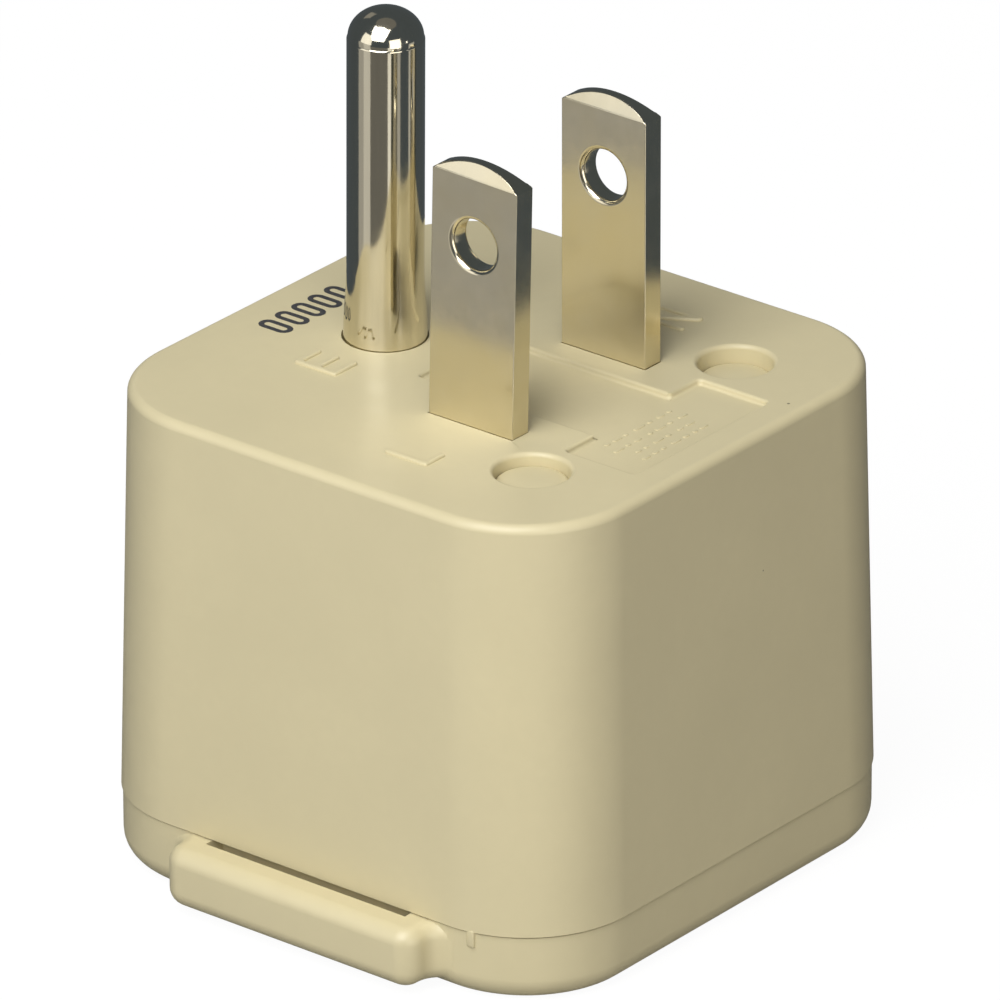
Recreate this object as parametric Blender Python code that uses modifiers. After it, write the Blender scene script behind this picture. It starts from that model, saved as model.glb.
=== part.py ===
"""Travel plug adapter: a universal socket underneath and a grounded two-blade plug on top.

The adapter stands on its socket face. X runs along the width of the blades, from the earth pin
towards the two screw plugs. Y runs from the line blade to the neutral blade, and the lip with the
long slot is on the -Y side. Z runs up, the way the pins point. The origin is in the middle of the
adapter's outline, on the surface it stands on.
"""

import math

import bmesh
import bpy
from mathutils import Matrix

mm = 0.001

# Body shell, with its width given at the plug face
BODY_WIDTH = 35.7 * mm
BODY_HEIGHT = 31.0 * mm
BODY_CORNER = 7.5 * mm
BODY_DRAFT = math.radians(1.1)
BODY_WALL = 2.0 * mm
PLUG_WALL = 2.4 * mm
PLUG_EDGE_FILLET = 0.8 * mm

# Socket cover
COVER_HEIGHT = 4.35 * mm
COVER_INSET = 0.1 * mm
COVER_PLATE = 2.4 * mm
COVER_EDGE_FILLET = 1.6 * mm
SPIGOT_HEIGHT = 2.2 * mm
SPIGOT_WALL = 1.0 * mm
SNAP_WIDTH = 7.0 * mm
SNAP_HEIGHT = 3.4 * mm
SNAP_CATCH = 0.5 * mm
SNAP_CATCH_HEIGHT = 1.0 * mm

# Lip on the -Y side of the cover, a little towards +X of its middle
LIP_REACH = 2.6 * mm
LIP_WIDTH = 19.15 * mm
LIP_OFFSET = 0.375 * mm
LIP_CORNER = 1.3 * mm
LIP_BLEND = 1.2 * mm
LIP_TOP_FILLET = 0.9 * mm
LIP_BOTTOM_FILLET = 1.2 * mm
LIP_RAISE = 0.5 * mm
LIP_END_WALL = 1.9 * mm
LIP_SLOT_WIDTH = 0.75 * mm

# Plug face: standard grounded plug, two blades and a round earth pin
PLUG_OFFSET = 3.8 * mm
BLADE_PITCH = 12.7 * mm
BLADE_WIDTH = 6.35 * mm
BLADE_THICKNESS = 1.52 * mm
BLADE_LENGTH = 16.95 * mm
BLADE_CROWN = 0.95 * mm
BLADE_CHAMFER_HEIGHT = 1.05 * mm
BLADE_CHAMFER_DEPTH = 0.45 * mm
BLADE_HOLE = 3.2 * mm
BLADE_HOLE_HEIGHT = 11.8 * mm
BLADE_ROOT_LENGTH = 6.1 * mm
SHOULDER_STEP = 0.425 * mm
SHOULDER_HEIGHT = 1.5 * mm
EARTH_OFFSET = 11.9 * mm
EARTH_DIAMETER = 4.8 * mm
EARTH_LENGTH = 21.4 * mm
EARTH_DOME = 1.85 * mm
EARTH_COLLAR = 5.1 * mm
EARTH_COLLAR_HEIGHT = 3.0 * mm
EARTH_FLANGE = 8.0 * mm
EARTH_FLANGE_THICKNESS = 1.2 * mm
EARTH_NECK = 5.2 * mm
EARTH_TAIL = 2.2 * mm
EARTH_HEAD_RIM = 0.5 * mm
EARTH_HEAD_THICKNESS = 0.35 * mm
WASHER_THICKNESS = 0.3 * mm

# Marks and recesses in the plug face, placed from the middle of the plug
RECESS_DEPTH = 0.35 * mm
STEM_LENGTH = 13.4 * mm
STEM_START = -6.9 * mm
STEM_WIDTH = 7.2 * mm
PANEL_LENGTH = 5.2 * mm
PANEL_WIDTH = 12.8 * mm
LETTER_HEIGHT = 3.0 * mm
LETTER_WIDTH = 1.85 * mm
LETTER_STROKE = 0.4 * mm
LETTER_RAISE = 0.18 * mm
POLE_LETTER_OUT = 12.2 * mm
POLE_LETTER_X = -0.1 * mm
EARTH_LETTER_X = -12.3 * mm
EARTH_LETTER_Y = -5.75 * mm

# Carrier screws, under press-in plugs
SCREW_X = 6.65 * mm
SCREW_PITCH = 19.5 * mm
PLUG_HOLE = 4.6 * mm
PLUG_DEPTH = 0.65 * mm
PLUG_THICKNESS = 0.9 * mm
PLUG_DOME = 0.12 * mm
PLUG_CAP_EDGE = 0.2 * mm
SCREW_HEAD = 4.0 * mm
SCREW_HEAD_HEIGHT = 1.2 * mm
SCREW_SHANK = 2.4 * mm
SCREW_LENGTH = 5.7 * mm
SCREW_DRIVE_WIDTH = 0.6 * mm
SCREW_DRIVE_LENGTH = 2.4 * mm
SCREW_DRIVE_DEPTH = 0.6 * mm
SCREW_SEAT = 1.4 * mm
SCREW_BOSS_WALL = 1.0 * mm
CARRIER_BOSS = 5.2 * mm

# Socket apertures, placed from the row of the line and neutral pins
SOCKET_ROW = 11.2 * mm
UK_PITCH = 22.2 * mm
UK_POLE_WIDTH = 6.7 * mm
UK_POLE_THICKNESS = 4.4 * mm
UK_EARTH_OFFSET = 22.2 * mm
UK_EARTH_WIDTH = 8.3 * mm
UK_EARTH_THICKNESS = 4.5 * mm
EURO_PITCH = 19.0 * mm
EURO_HOLE = 5.0 * mm
US_SLOT_LENGTH = 6.9 * mm
US_SLOT_WIDTH = 2.0 * mm
US_EARTH_HOLE = 5.3 * mm
AU_PITCH = 13.7 * mm
AU_ANGLE = math.radians(30)
AU_EARTH_WIDTH = 2.1 * mm

# Contacts, cut and folded from brass strip
STRIP = 0.5 * mm
FLAT_PIN_GAP = 5.8 * mm
ROUND_PIN_GAP = 4.3 * mm
FLAT_PIN_END = 5.0 * mm
FLAT_PIN_REACH = 7.9 * mm
EARTH_PIN_GAP = 4.4 * mm
EARTH_LEAF_END = 1.3 * mm
EARTH_BRIDGE_START = -13.0 * mm
EARTH_BRIDGE_END = -3.0 * mm
EARTH_BRIDGE_WIDTH = 8.2 * mm
EARTH_BRIDGE_RISE = 1.6 * mm
RIVET_SHANK = 1.3 * mm
RIVET_HEAD = 2.2 * mm
RIVET_HEAD_THICKNESS = 0.5 * mm
RIVET_EDGE = 1.475 * mm
RIVET_RISE = 1.75 * mm

# Carrier that holds the contacts
CARRIER_PLATE = 1.6 * mm
CARRIER_WALL = 0.8 * mm

# Clearances: seats between inner pieces, visible fits, and how far a cutter runs past a face
SEAT = 0.3 * mm
FIT = 0.15 * mm
PAST = 1.0 * mm

# Facets
CORNER_STEPS = 10
FILLET_STEPS = 4
PIN_STEPS = 32
SMALL_STEPS = 20

# Heights and places that follow from the sizes above
PARTING = COVER_HEIGHT + FIT
PLUG_UNDERSIDE = BODY_HEIGHT - PLUG_WALL
SNAP_TOP = COVER_HEIGHT + SPIGOT_HEIGHT + SNAP_HEIGHT
CARRIER_LOW = SNAP_TOP + SEAT
CONTACT_LOW = COVER_HEIGHT + SPIGOT_HEIGHT + SEAT
BLADE_ROOT = PLUG_UNDERSIDE - BLADE_ROOT_LENGTH
CARRIER_TOP = BLADE_ROOT - SEAT
CARRIER_UNDERSIDE = CARRIER_TOP - CARRIER_PLATE
CONTACT_HIGH = CARRIER_UNDERSIDE - SEAT
SCREW_SEAT_TOP = BODY_HEIGHT - PLUG_DEPTH - PLUG_THICKNESS - SCREW_HEAD_HEIGHT - 2 * SEAT
SCREW_SEAT_LOW = SCREW_SEAT_TOP - SCREW_SEAT
CARRIER_BOSS_TOP = SCREW_SEAT_LOW - SEAT
EARTH_BRIDGE_LOW = CARRIER_TOP + EARTH_BRIDGE_RISE
EARTH_X = PLUG_OFFSET - EARTH_OFFSET
SCREW_AXIS_X = PLUG_OFFSET + SCREW_X
LEAF_X = SOCKET_ROW - FLAT_PIN_GAP / 2 - STRIP
POLE_POCKET_END = UK_PITCH / 2 + UK_POLE_WIDTH / 2
ROUND_PIN_END = POLE_POCKET_END - SEAT
EARTH_POCKET_START = SOCKET_ROW - UK_EARTH_OFFSET - UK_EARTH_WIDTH / 2
EARTH_LEAF_START = EARTH_POCKET_START + SEAT
BODY_HALF_LOW = BODY_WIDTH / 2 + (BODY_HEIGHT - PARTING) * math.tan(BODY_DRAFT)
COVER_HALF = BODY_HALF_LOW - COVER_INSET
BODY_Y = (COVER_HALF + LIP_REACH - BODY_HALF_LOW) / 2

# Colours are linear values; roughness and metallic follow the finish in the photograph
BEIGE = (0.58, 0.53, 0.33, 1.0)
INNER_PLASTIC = (0.75, 0.73, 0.66, 1.0)
NICKEL = (0.70, 0.67, 0.58, 1.0)
BRASS = (0.75, 0.55, 0.24, 1.0)
STEEL = (0.60, 0.60, 0.60, 1.0)


def clear_scene():
    """Start from an empty scene."""
    for obj in list(bpy.data.objects):
        bpy.data.objects.remove(obj)


def make_collection(name):
    collection = bpy.data.collections.new(name)
    bpy.context.scene.collection.children.link(collection)
    return collection


def make_material(name, colour, roughness, metallic):
    material = bpy.data.materials.new(name)
    material.use_nodes = True
    shader = material.node_tree.nodes["Principled BSDF"]
    shader.inputs["Base Color"].default_value = colour
    shader.inputs["Roughness"].default_value = roughness
    shader.inputs["Metallic"].default_value = metallic
    material.diffuse_color = colour
    return material


def add_piece(name, mesh, colour, roughness, metallic):
    """Put a mesh into the adapter as a named piece with its own material."""
    piece = bpy.data.objects.new(name, mesh)
    parts.objects.link(piece)
    piece.parent = axis
    mesh.materials.append(make_material(name, colour, roughness, metallic))
    mesh.shade_smooth()
    mesh.set_sharp_from_angle(angle=math.radians(35))
    return piece


def add_cutter(name, mesh):
    """Put a mesh beside the adapter, as a shape that pieces are cut or joined with."""
    cutter = bpy.data.objects.new(name, mesh)
    cutters.objects.link(cutter)
    cutter.parent = axis
    cutter.hide_render = True
    cutter.display_type = "WIRE"
    return cutter


def combine(piece, name, mesh, operation):
    """Give a piece a Boolean modifier that works with a new cutter of this mesh."""
    cutter = add_cutter(piece.name + "_" + name, mesh)
    modifier = piece.modifiers.new(name, "BOOLEAN")
    modifier.operation = operation
    modifier.solver = "EXACT"
    modifier.object = cutter


def cut(piece, name, mesh):
    combine(piece, name, mesh, "DIFFERENCE")


def join(piece, name, mesh):
    combine(piece, name, mesh, "UNION")


def mesh_from(bm, name):
    mesh = bpy.data.meshes.new(name)
    bm.to_mesh(mesh)
    bm.free()
    return mesh


def cuboid(name, low, high, turn=0.0):
    """A box between two corners, turned about its own middle in plan."""
    bm = bmesh.new()
    bmesh.ops.create_cube(bm, size=1.0)
    size = [h - l for l, h in zip(low, high)]
    middle = [(l + h) / 2 for l, h in zip(low, high)]
    bmesh.ops.scale(bm, vec=size, verts=bm.verts)
    bmesh.ops.rotate(bm, cent=(0, 0, 0), matrix=Matrix.Rotation(turn, 3, "Z"), verts=bm.verts)
    bmesh.ops.translate(bm, vec=middle, verts=bm.verts)
    return mesh_from(bm, name)


def disc(name, diameter, low, high, x, y, steps=SMALL_STEPS):
    """An upright cylinder between two heights."""
    bm = bmesh.new()
    middle = Matrix.Translation((x, y, (low + high) / 2))
    bmesh.ops.create_cone(bm, cap_ends=True, segments=steps, radius1=diameter / 2,
                          radius2=diameter / 2, depth=high - low, matrix=middle)
    return mesh_from(bm, name)


def is_upright(edge):
    start, end = edge.verts
    return abs(start.co.z - end.co.z) > abs(start.co.x - end.co.x) + abs(start.co.y - end.co.y)


def is_level_at(edge, height):
    return all(abs(vert.co.z - height) < 0.001 * mm for vert in edge.verts)


def rounded_block(name, half_low, half_high, low, high, corner, top_fillet=0.0, low_fillet=0.0):
    """A square block with rounded uprights, which may taper and have rounded rims."""
    bm = bmesh.new()
    bmesh.ops.create_cube(bm, size=2.0)
    for vert in bm.verts:
        top = vert.co.z > 0
        half = half_high if top else half_low
        vert.co.x *= half
        vert.co.y *= half
        vert.co.z = high if top else low
    uprights = [edge for edge in bm.edges if is_upright(edge)]
    bmesh.ops.bevel(bm, geom=uprights, offset=corner, offset_type="OFFSET",
                    segments=CORNER_STEPS, profile=0.5, affect="EDGES")
    for height, fillet in ((high, top_fillet), (low, low_fillet)):
        if fillet:
            rim = [edge for edge in bm.edges if is_level_at(edge, height)]
            bmesh.ops.bevel(bm, geom=rim, offset=fillet, offset_type="OFFSET",
                            segments=FILLET_STEPS, profile=0.5, affect="EDGES")
    return mesh_from(bm, name)


def half_width_at(height):
    """Half the body's outer width at a height above the socket face."""
    return BODY_WIDTH / 2 + (BODY_HEIGHT - height) * math.tan(BODY_DRAFT)


def arc(centre_x, centre_y, radius, start, end, steps):
    """Points along an arc, with angles in degrees."""
    points = []
    for step in range(steps + 1):
        angle = math.radians(start + (end - start) * step / steps)
        points.append((centre_x + radius * math.cos(angle), centre_y + radius * math.sin(angle)))
    return points


def prism(name, outline, low, high):
    """A flat outline in plan, made solid between two heights."""
    curve = bpy.data.curves.new(name, "CURVE")
    curve.dimensions = "2D"
    curve.fill_mode = "BOTH"
    curve.extrude = (high - low) / 2
    spline = curve.splines.new("POLY")
    spline.points.add(len(outline) - 1)
    for point, (x, y) in zip(spline.points, outline):
        point.co = (x, y, 0, 1)
    spline.use_cyclic_u = True
    drawn = bpy.data.objects.new(name, curve)
    cutters.objects.link(drawn)
    bpy.context.view_layer.update()
    seen = drawn.evaluated_get(bpy.context.evaluated_depsgraph_get())
    bm = bmesh.new()
    bm.from_mesh(bpy.data.meshes.new_from_object(seen))
    bmesh.ops.remove_doubles(bm, verts=bm.verts, dist=0.001 * mm)
    bmesh.ops.dissolve_limit(bm, angle_limit=math.radians(0.1), verts=bm.verts, edges=bm.edges)
    bmesh.ops.translate(bm, vec=(0, 0, (low + high) / 2), verts=bm.verts)
    bmesh.ops.recalc_face_normals(bm, faces=bm.faces)
    bpy.data.objects.remove(drawn)
    return mesh_from(bm, name)


def turned(name, profile, colour, roughness, metallic, steps=PIN_STEPS, closed=False):
    """A turned piece: a profile of (radius, height) points, top to bottom, spun about Z."""
    bm = bmesh.new()
    verts = [bm.verts.new((radius, 0, height)) for radius, height in profile]
    for start, end in zip(verts, verts[1:]):
        bm.edges.new((start, end))
    if closed:
        bm.edges.new((verts[-1], verts[0]))
    piece = add_piece(name, mesh_from(bm, name), colour, roughness, metallic)
    spin = piece.modifiers.new("spin", "SCREW")
    spin.axis = "Z"
    spin.angle = math.tau
    spin.steps = steps
    spin.render_steps = steps
    spin.use_merge_vertices = True
    spin.merge_threshold = 0.00001
    spin.use_smooth_shade = True
    return piece


def lip_outline():
    """The lip in plan: rounded outer corners, hollow blends into the cover, its back inside it."""
    wall = -COVER_HALF
    outer = wall - LIP_REACH
    start = LIP_OFFSET - LIP_WIDTH / 2
    end = LIP_OFFSET + LIP_WIDTH / 2
    steps = CORNER_STEPS // 2
    corner = min(LIP_CORNER, LIP_REACH / 2)
    blend = min(LIP_BLEND, LIP_REACH - corner - COVER_INSET)
    points = [(start - blend, wall + LIP_TOP_FILLET)]
    points += arc(start - blend, wall - blend, blend, 90, 0, steps)
    points += arc(start + corner, outer + corner, corner, 180, 270, steps)
    points += arc(end - corner, outer + corner, corner, 270, 360, steps)
    points += arc(end + blend, wall - blend, blend, 180, 90, steps)
    points += [(end + blend, wall + LIP_TOP_FILLET)]
    return points


def lip_mesh():
    """The lip with its outer rims rounded."""
    bm = bmesh.new()
    bm.from_mesh(prism("lip", lip_outline(), LIP_RAISE, COVER_HEIGHT))
    outside = -COVER_HALF + LIP_TOP_FILLET / 2
    bottom_fillet = min(LIP_BOTTOM_FILLET, min(LIP_CORNER, LIP_REACH / 2) - 0.1 * mm)
    for height, fillet in ((COVER_HEIGHT, LIP_TOP_FILLET), (LIP_RAISE, bottom_fillet)):
        rim = [edge for edge in bm.edges
               if is_level_at(edge, height) and min(vert.co.y for vert in edge.verts) < outside]
        bmesh.ops.bevel(bm, geom=rim, offset=fillet, offset_type="OFFSET", loop_slide=False,
                        segments=FILLET_STEPS, profile=0.5, affect="EDGES")
    return mesh_from(bm, "lip")


def sides():
    """The line side and the neutral side, each with its name and the sign of its Y."""
    return (("line", -1), ("neutral", 1))


def span(side, near, far):
    """A stretch of Y on one side, given by its distances from the middle."""
    return tuple(sorted((side * near, side * far)))


def letter_bars(letter):
    """The strokes of a letter as boxes in its own frame: (x, y, length, width, turn)."""
    tall = LETTER_HEIGHT
    wide = LETTER_WIDTH
    stroke = LETTER_STROKE
    spine = (0, -wide / 2, tall, stroke, 0)
    if letter == "L":
        return [spine, (tall / 2 - stroke / 2, 0, stroke, wide, 0)]
    if letter == "E":
        arms = [(place * (tall / 2 - stroke / 2), 0, stroke, wide, 0) for place in (-1, 0, 1)]
        return [spine] + arms
    slant = math.atan2(wide - stroke, tall - stroke)
    length = math.hypot(wide - stroke, tall - stroke)
    return [spine, (0, wide / 2, tall, stroke, 0), (0, 0, length, stroke, slant)]


def add_letter(housing, letter, x, y):
    """Raise a letter on the plug face. Its top points to -X and it reads towards +Y."""
    for number, (dx, dy, length, width, turn) in enumerate(letter_bars(letter)):
        low = (x + dx - length / 2, y + dy - width / 2, BODY_HEIGHT - LETTER_STROKE)
        high = (x + dx + length / 2, y + dy + width / 2, BODY_HEIGHT + LETTER_RAISE)
        name = "letter_" + letter + str(number)
        join(housing, name, cuboid(name, low, high, turn))


def make_housing():
    """The moulded shell, open below, with the plug face on top."""
    half_low = BODY_HALF_LOW
    half_high = BODY_WIDTH / 2
    shell = rounded_block("housing", half_low, half_high, PARTING, BODY_HEIGHT, BODY_CORNER,
                          top_fillet=PLUG_EDGE_FILLET)
    housing = add_piece("housing", shell, BEIGE, 0.42, 0.0)
    inner_low = half_width_at(PARTING - PAST) - BODY_WALL
    inner_high = half_width_at(PLUG_UNDERSIDE) - BODY_WALL
    cut(housing, "cavity", rounded_block("cavity", inner_low, inner_high, PARTING - PAST,
                                         PLUG_UNDERSIDE, BODY_CORNER - BODY_WALL))
    boss = PLUG_HOLE + 2 * SCREW_BOSS_WALL
    for side_name, side in sides():
        y = side * SCREW_PITCH / 2
        join(housing, "boss_" + side_name, disc("boss", boss, SCREW_SEAT_LOW,
                                                PLUG_UNDERSIDE + PLUG_WALL / 2, SCREW_AXIS_X, y))
        cut(housing, "plug_hole_" + side_name, disc("hole", PLUG_HOLE, SCREW_SEAT_TOP,
                                                    BODY_HEIGHT + PAST, SCREW_AXIS_X, y, PIN_STEPS))
        cut(housing, "shank_hole_" + side_name, disc("hole", SCREW_SHANK + 2 * SEAT,
                                                     SCREW_SEAT_LOW - PAST, SCREW_SEAT_TOP + PAST,
                                                     SCREW_AXIS_X, y))
        near = BLADE_PITCH / 2 - BLADE_THICKNESS / 2 - FIT
        far = BLADE_PITCH / 2 + BLADE_THICKNESS / 2 + FIT
        y_low, y_high = span(side, near, far)
        reach = BLADE_WIDTH / 2 + FIT
        cut(housing, "blade_slot_" + side_name, cuboid(
            "slot", (PLUG_OFFSET - reach, y_low, PLUG_UNDERSIDE - PAST),
            (PLUG_OFFSET + reach, y_high, BODY_HEIGHT + PAST)))
    cut(housing, "earth_hole", disc("hole", EARTH_COLLAR + 2 * FIT, PLUG_UNDERSIDE - PAST,
                                    BODY_HEIGHT + PAST, EARTH_X, 0, PIN_STEPS))
    floor = BODY_HEIGHT - RECESS_DEPTH
    stem_start = PLUG_OFFSET + STEM_START
    stem_end = stem_start + STEM_LENGTH
    cut(housing, "recess", prism("recess", [
        (stem_start, -STEM_WIDTH / 2), (stem_end, -STEM_WIDTH / 2),
        (stem_end, -PANEL_WIDTH / 2), (stem_end + PANEL_LENGTH, -PANEL_WIDTH / 2),
        (stem_end + PANEL_LENGTH, PANEL_WIDTH / 2), (stem_end, PANEL_WIDTH / 2),
        (stem_end, STEM_WIDTH / 2), (stem_start, STEM_WIDTH / 2)], floor, BODY_HEIGHT + PAST))
    add_snap_pockets(housing)
    add_letter(housing, "E", PLUG_OFFSET + EARTH_LETTER_X, EARTH_LETTER_Y)
    add_letter(housing, "L", PLUG_OFFSET + POLE_LETTER_X, -POLE_LETTER_OUT)
    add_letter(housing, "N", PLUG_OFFSET + POLE_LETTER_X, POLE_LETTER_OUT)
    return housing


def spigot_half():
    """Half the outer width of the spigot, which clears the tapered inside of the housing."""
    return half_width_at(SNAP_TOP) - BODY_WALL - FIT


def snap_catch_low():
    return SNAP_TOP - 2 * SNAP_CATCH_HEIGHT


def quarter_turned(mesh, quarter):
    """Turn a mesh about the body's axis by a number of right angles."""
    mesh.transform(Matrix.Rotation(quarter * math.pi / 2, 4, "Z"))
    return mesh


def add_snap_pockets(housing):
    """Cut the four pockets inside the walls that the cover's catches spring into."""
    half = spigot_half()
    low = snap_catch_low() - SEAT
    high = low + SNAP_CATCH_HEIGHT + 2 * SEAT
    reach = SNAP_WIDTH / 2 + SEAT
    for quarter in range(4):
        pocket = cuboid("pocket", (half - SPIGOT_WALL, -reach, low),
                        (half + SNAP_CATCH + SEAT, reach, high))
        cut(housing, "snap_pocket_" + str(quarter), quarter_turned(pocket, quarter))


def make_cover():
    """The socket cover: a plate with the apertures, a rim, a spigot with catches, and the lip."""
    block = rounded_block("socket_cover", COVER_HALF, COVER_HALF, 0, COVER_HEIGHT,
                          BODY_CORNER - COVER_INSET, low_fillet=COVER_EDGE_FILLET)
    cover = add_piece("socket_cover", block, BEIGE, 0.42, 0.0)
    join(cover, "lip", lip_mesh())
    half = spigot_half()
    corner = BODY_CORNER - BODY_WALL
    join(cover, "spigot", rounded_block("spigot", half, half, COVER_PLATE,
                                        COVER_HEIGHT + SPIGOT_HEIGHT, corner))
    for quarter in range(4):
        add_snap(cover, quarter)
    inner = half - SPIGOT_WALL
    cut(cover, "inside", rounded_block("inside", inner, inner, COVER_PLATE,
                                       SNAP_TOP + PAST, corner - SPIGOT_WALL))
    slot_reach = LIP_WIDTH / 2 - LIP_END_WALL
    cut(cover, "lip_slot", cuboid(
        "lip_slot", (LIP_OFFSET - slot_reach, -COVER_HALF - LIP_SLOT_WIDTH, -PAST),
        (LIP_OFFSET + slot_reach, -COVER_HALF + COVER_INSET, COVER_HEIGHT + PAST)))
    add_apertures(cover)
    return cover


def add_snap(cover, quarter):
    """One springy tongue of the spigot with the catch at its end."""
    half = spigot_half()
    reach = SNAP_WIDTH / 2
    tongue = cuboid("tongue", (half - SPIGOT_WALL - FIT, -reach, COVER_PLATE),
                    (half, reach, SNAP_TOP))
    join(cover, "tongue_" + str(quarter), quarter_turned(tongue, quarter))
    low = snap_catch_low()
    catch = cuboid("catch", (half - SPIGOT_WALL / 2, -reach + FIT, low),
                   (half + SNAP_CATCH, reach - FIT, low + SNAP_CATCH_HEIGHT))
    join(cover, "catch_" + str(quarter), quarter_turned(catch, quarter))


def add_apertures(cover):
    """Cut the openings for flat, round and rectangular pins through the cover's plate."""
    low = -PAST
    high = COVER_PLATE + PAST
    for name, side in sides():
        middle = UK_PITCH / 2
        y_low, y_high = span(side, middle - UK_POLE_WIDTH / 2, middle + UK_POLE_WIDTH / 2)
        cut(cover, "uk_" + name, cuboid("uk", (SOCKET_ROW - UK_POLE_THICKNESS / 2, y_low, low),
                                        (SOCKET_ROW + UK_POLE_THICKNESS / 2, y_high, high)))
        cut(cover, "euro_" + name, disc("euro", EURO_HOLE, low, high, SOCKET_ROW,
                                        side * EURO_PITCH / 2, PIN_STEPS))
        middle = BLADE_PITCH / 2
        y_low, y_high = span(side, middle - US_SLOT_WIDTH / 2, middle + US_SLOT_WIDTH / 2)
        cut(cover, "us_" + name, cuboid("us", (SOCKET_ROW - US_SLOT_LENGTH / 2, y_low, low),
                                        (SOCKET_ROW + US_SLOT_LENGTH / 2, y_high, high)))
        y = side * AU_PITCH / 2
        cut(cover, "au_" + name, cuboid(
            "au", (SOCKET_ROW - US_SLOT_LENGTH / 2, y - US_SLOT_WIDTH / 2, low),
            (SOCKET_ROW + US_SLOT_LENGTH / 2, y + US_SLOT_WIDTH / 2, high), -side * AU_ANGLE))
    uk_earth = SOCKET_ROW - UK_EARTH_OFFSET
    us_earth = SOCKET_ROW - EARTH_OFFSET
    cut(cover, "uk_earth", cuboid(
        "uk_earth", (uk_earth - UK_EARTH_WIDTH / 2, -UK_EARTH_THICKNESS / 2, low),
        (uk_earth + UK_EARTH_WIDTH / 2, UK_EARTH_THICKNESS / 2, high)))
    cut(cover, "au_earth", cuboid("au_earth", (uk_earth, -AU_EARTH_WIDTH / 2, low),
                                  (us_earth, AU_EARTH_WIDTH / 2, high)))
    cut(cover, "us_earth", disc("us_earth", US_EARTH_HOLE, low, high, us_earth, 0, PIN_STEPS))


def blade_outline():
    """The blade seen on its flat side, with its crowned tip."""
    half = BLADE_WIDTH / 2
    tip = BODY_HEIGHT + BLADE_LENGTH
    radius = (half * half + BLADE_CROWN * BLADE_CROWN) / (2 * BLADE_CROWN)
    swing = math.degrees(math.asin(half / radius))
    crown = arc(0, tip - radius, radius, 90 - swing, 90 + swing, CORNER_STEPS)
    return crown + [(-half, BLADE_ROOT), (half, BLADE_ROOT)]


def rivet_places():
    """X places of the two rivets through each blade's root."""
    reach = BLADE_WIDTH / 2 - RIVET_EDGE
    return (PLUG_OFFSET - reach, PLUG_OFFSET + reach)


def across(name, diameter, near, far, x, z, side, steps=SMALL_STEPS):
    """A cylinder along Y, between two distances from the middle on one side."""
    mesh = disc(name, diameter, near, far, 0, 0, steps)
    mesh.transform(Matrix.Rotation(-side * math.pi / 2, 4, "X"))
    mesh.transform(Matrix.Translation((x, 0, z)))
    return mesh


def make_blade(side_name, side):
    """A flat blade with a crowned, chamfered tip, a hole, and a shouldered root."""
    near = BLADE_PITCH / 2 - BLADE_THICKNESS / 2
    far = BLADE_PITCH / 2 + BLADE_THICKNESS / 2
    mesh = prism("blade", blade_outline(), -far, -near) if side > 0 else prism(
        "blade", blade_outline(), near, far)
    mesh.transform(Matrix.Rotation(math.pi / 2, 4, "X"))
    mesh.transform(Matrix.Translation((PLUG_OFFSET, 0, 0)))
    blade = add_piece(side_name + "_blade", mesh, NICKEL, 0.22, 1.0)
    ledge = PLUG_UNDERSIDE - SEAT
    reach = BLADE_WIDTH / 2 + SHOULDER_STEP
    y_low, y_high = span(side, near, far)
    join(blade, "shoulder", cuboid(
        "shoulder", (PLUG_OFFSET - reach, y_low, ledge - SHOULDER_HEIGHT),
        (PLUG_OFFSET + reach, y_high, ledge)))
    tip = BODY_HEIGHT + BLADE_LENGTH
    slope = math.atan2(BLADE_CHAMFER_DEPTH, BLADE_CHAMFER_HEIGHT)
    for face_name, face, outward in (("inner", near, -1), ("outer", far, 1)):
        wedge = cuboid("wedge", (-BLADE_WIDTH, 0, 0), (BLADE_WIDTH, BLADE_WIDTH, 2 * BLADE_WIDTH))
        wedge.transform(Matrix.Translation((0, 0, -BLADE_WIDTH)))
        wedge.transform(Matrix.Rotation(slope, 4, "X"))
        if outward * side < 0:
            wedge.transform(Matrix.Rotation(math.pi, 4, "Z"))
        wedge.transform(Matrix.Translation((PLUG_OFFSET, side * face, tip - BLADE_CHAMFER_HEIGHT)))
        cut(blade, "chamfer_" + face_name, wedge)
    cut(blade, "hole", across("hole", BLADE_HOLE, near - PAST, far + PAST, PLUG_OFFSET,
                              BODY_HEIGHT + BLADE_HOLE_HEIGHT, side, PIN_STEPS))
    for number, x in enumerate(rivet_places(), 1):
        cut(blade, "rivet_hole_" + str(number), across(
            "rivet_hole", RIVET_SHANK + 2 * FIT, near - PAST, far + PAST, x,
            BLADE_ROOT + RIVET_RISE, side))
    return blade


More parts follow.
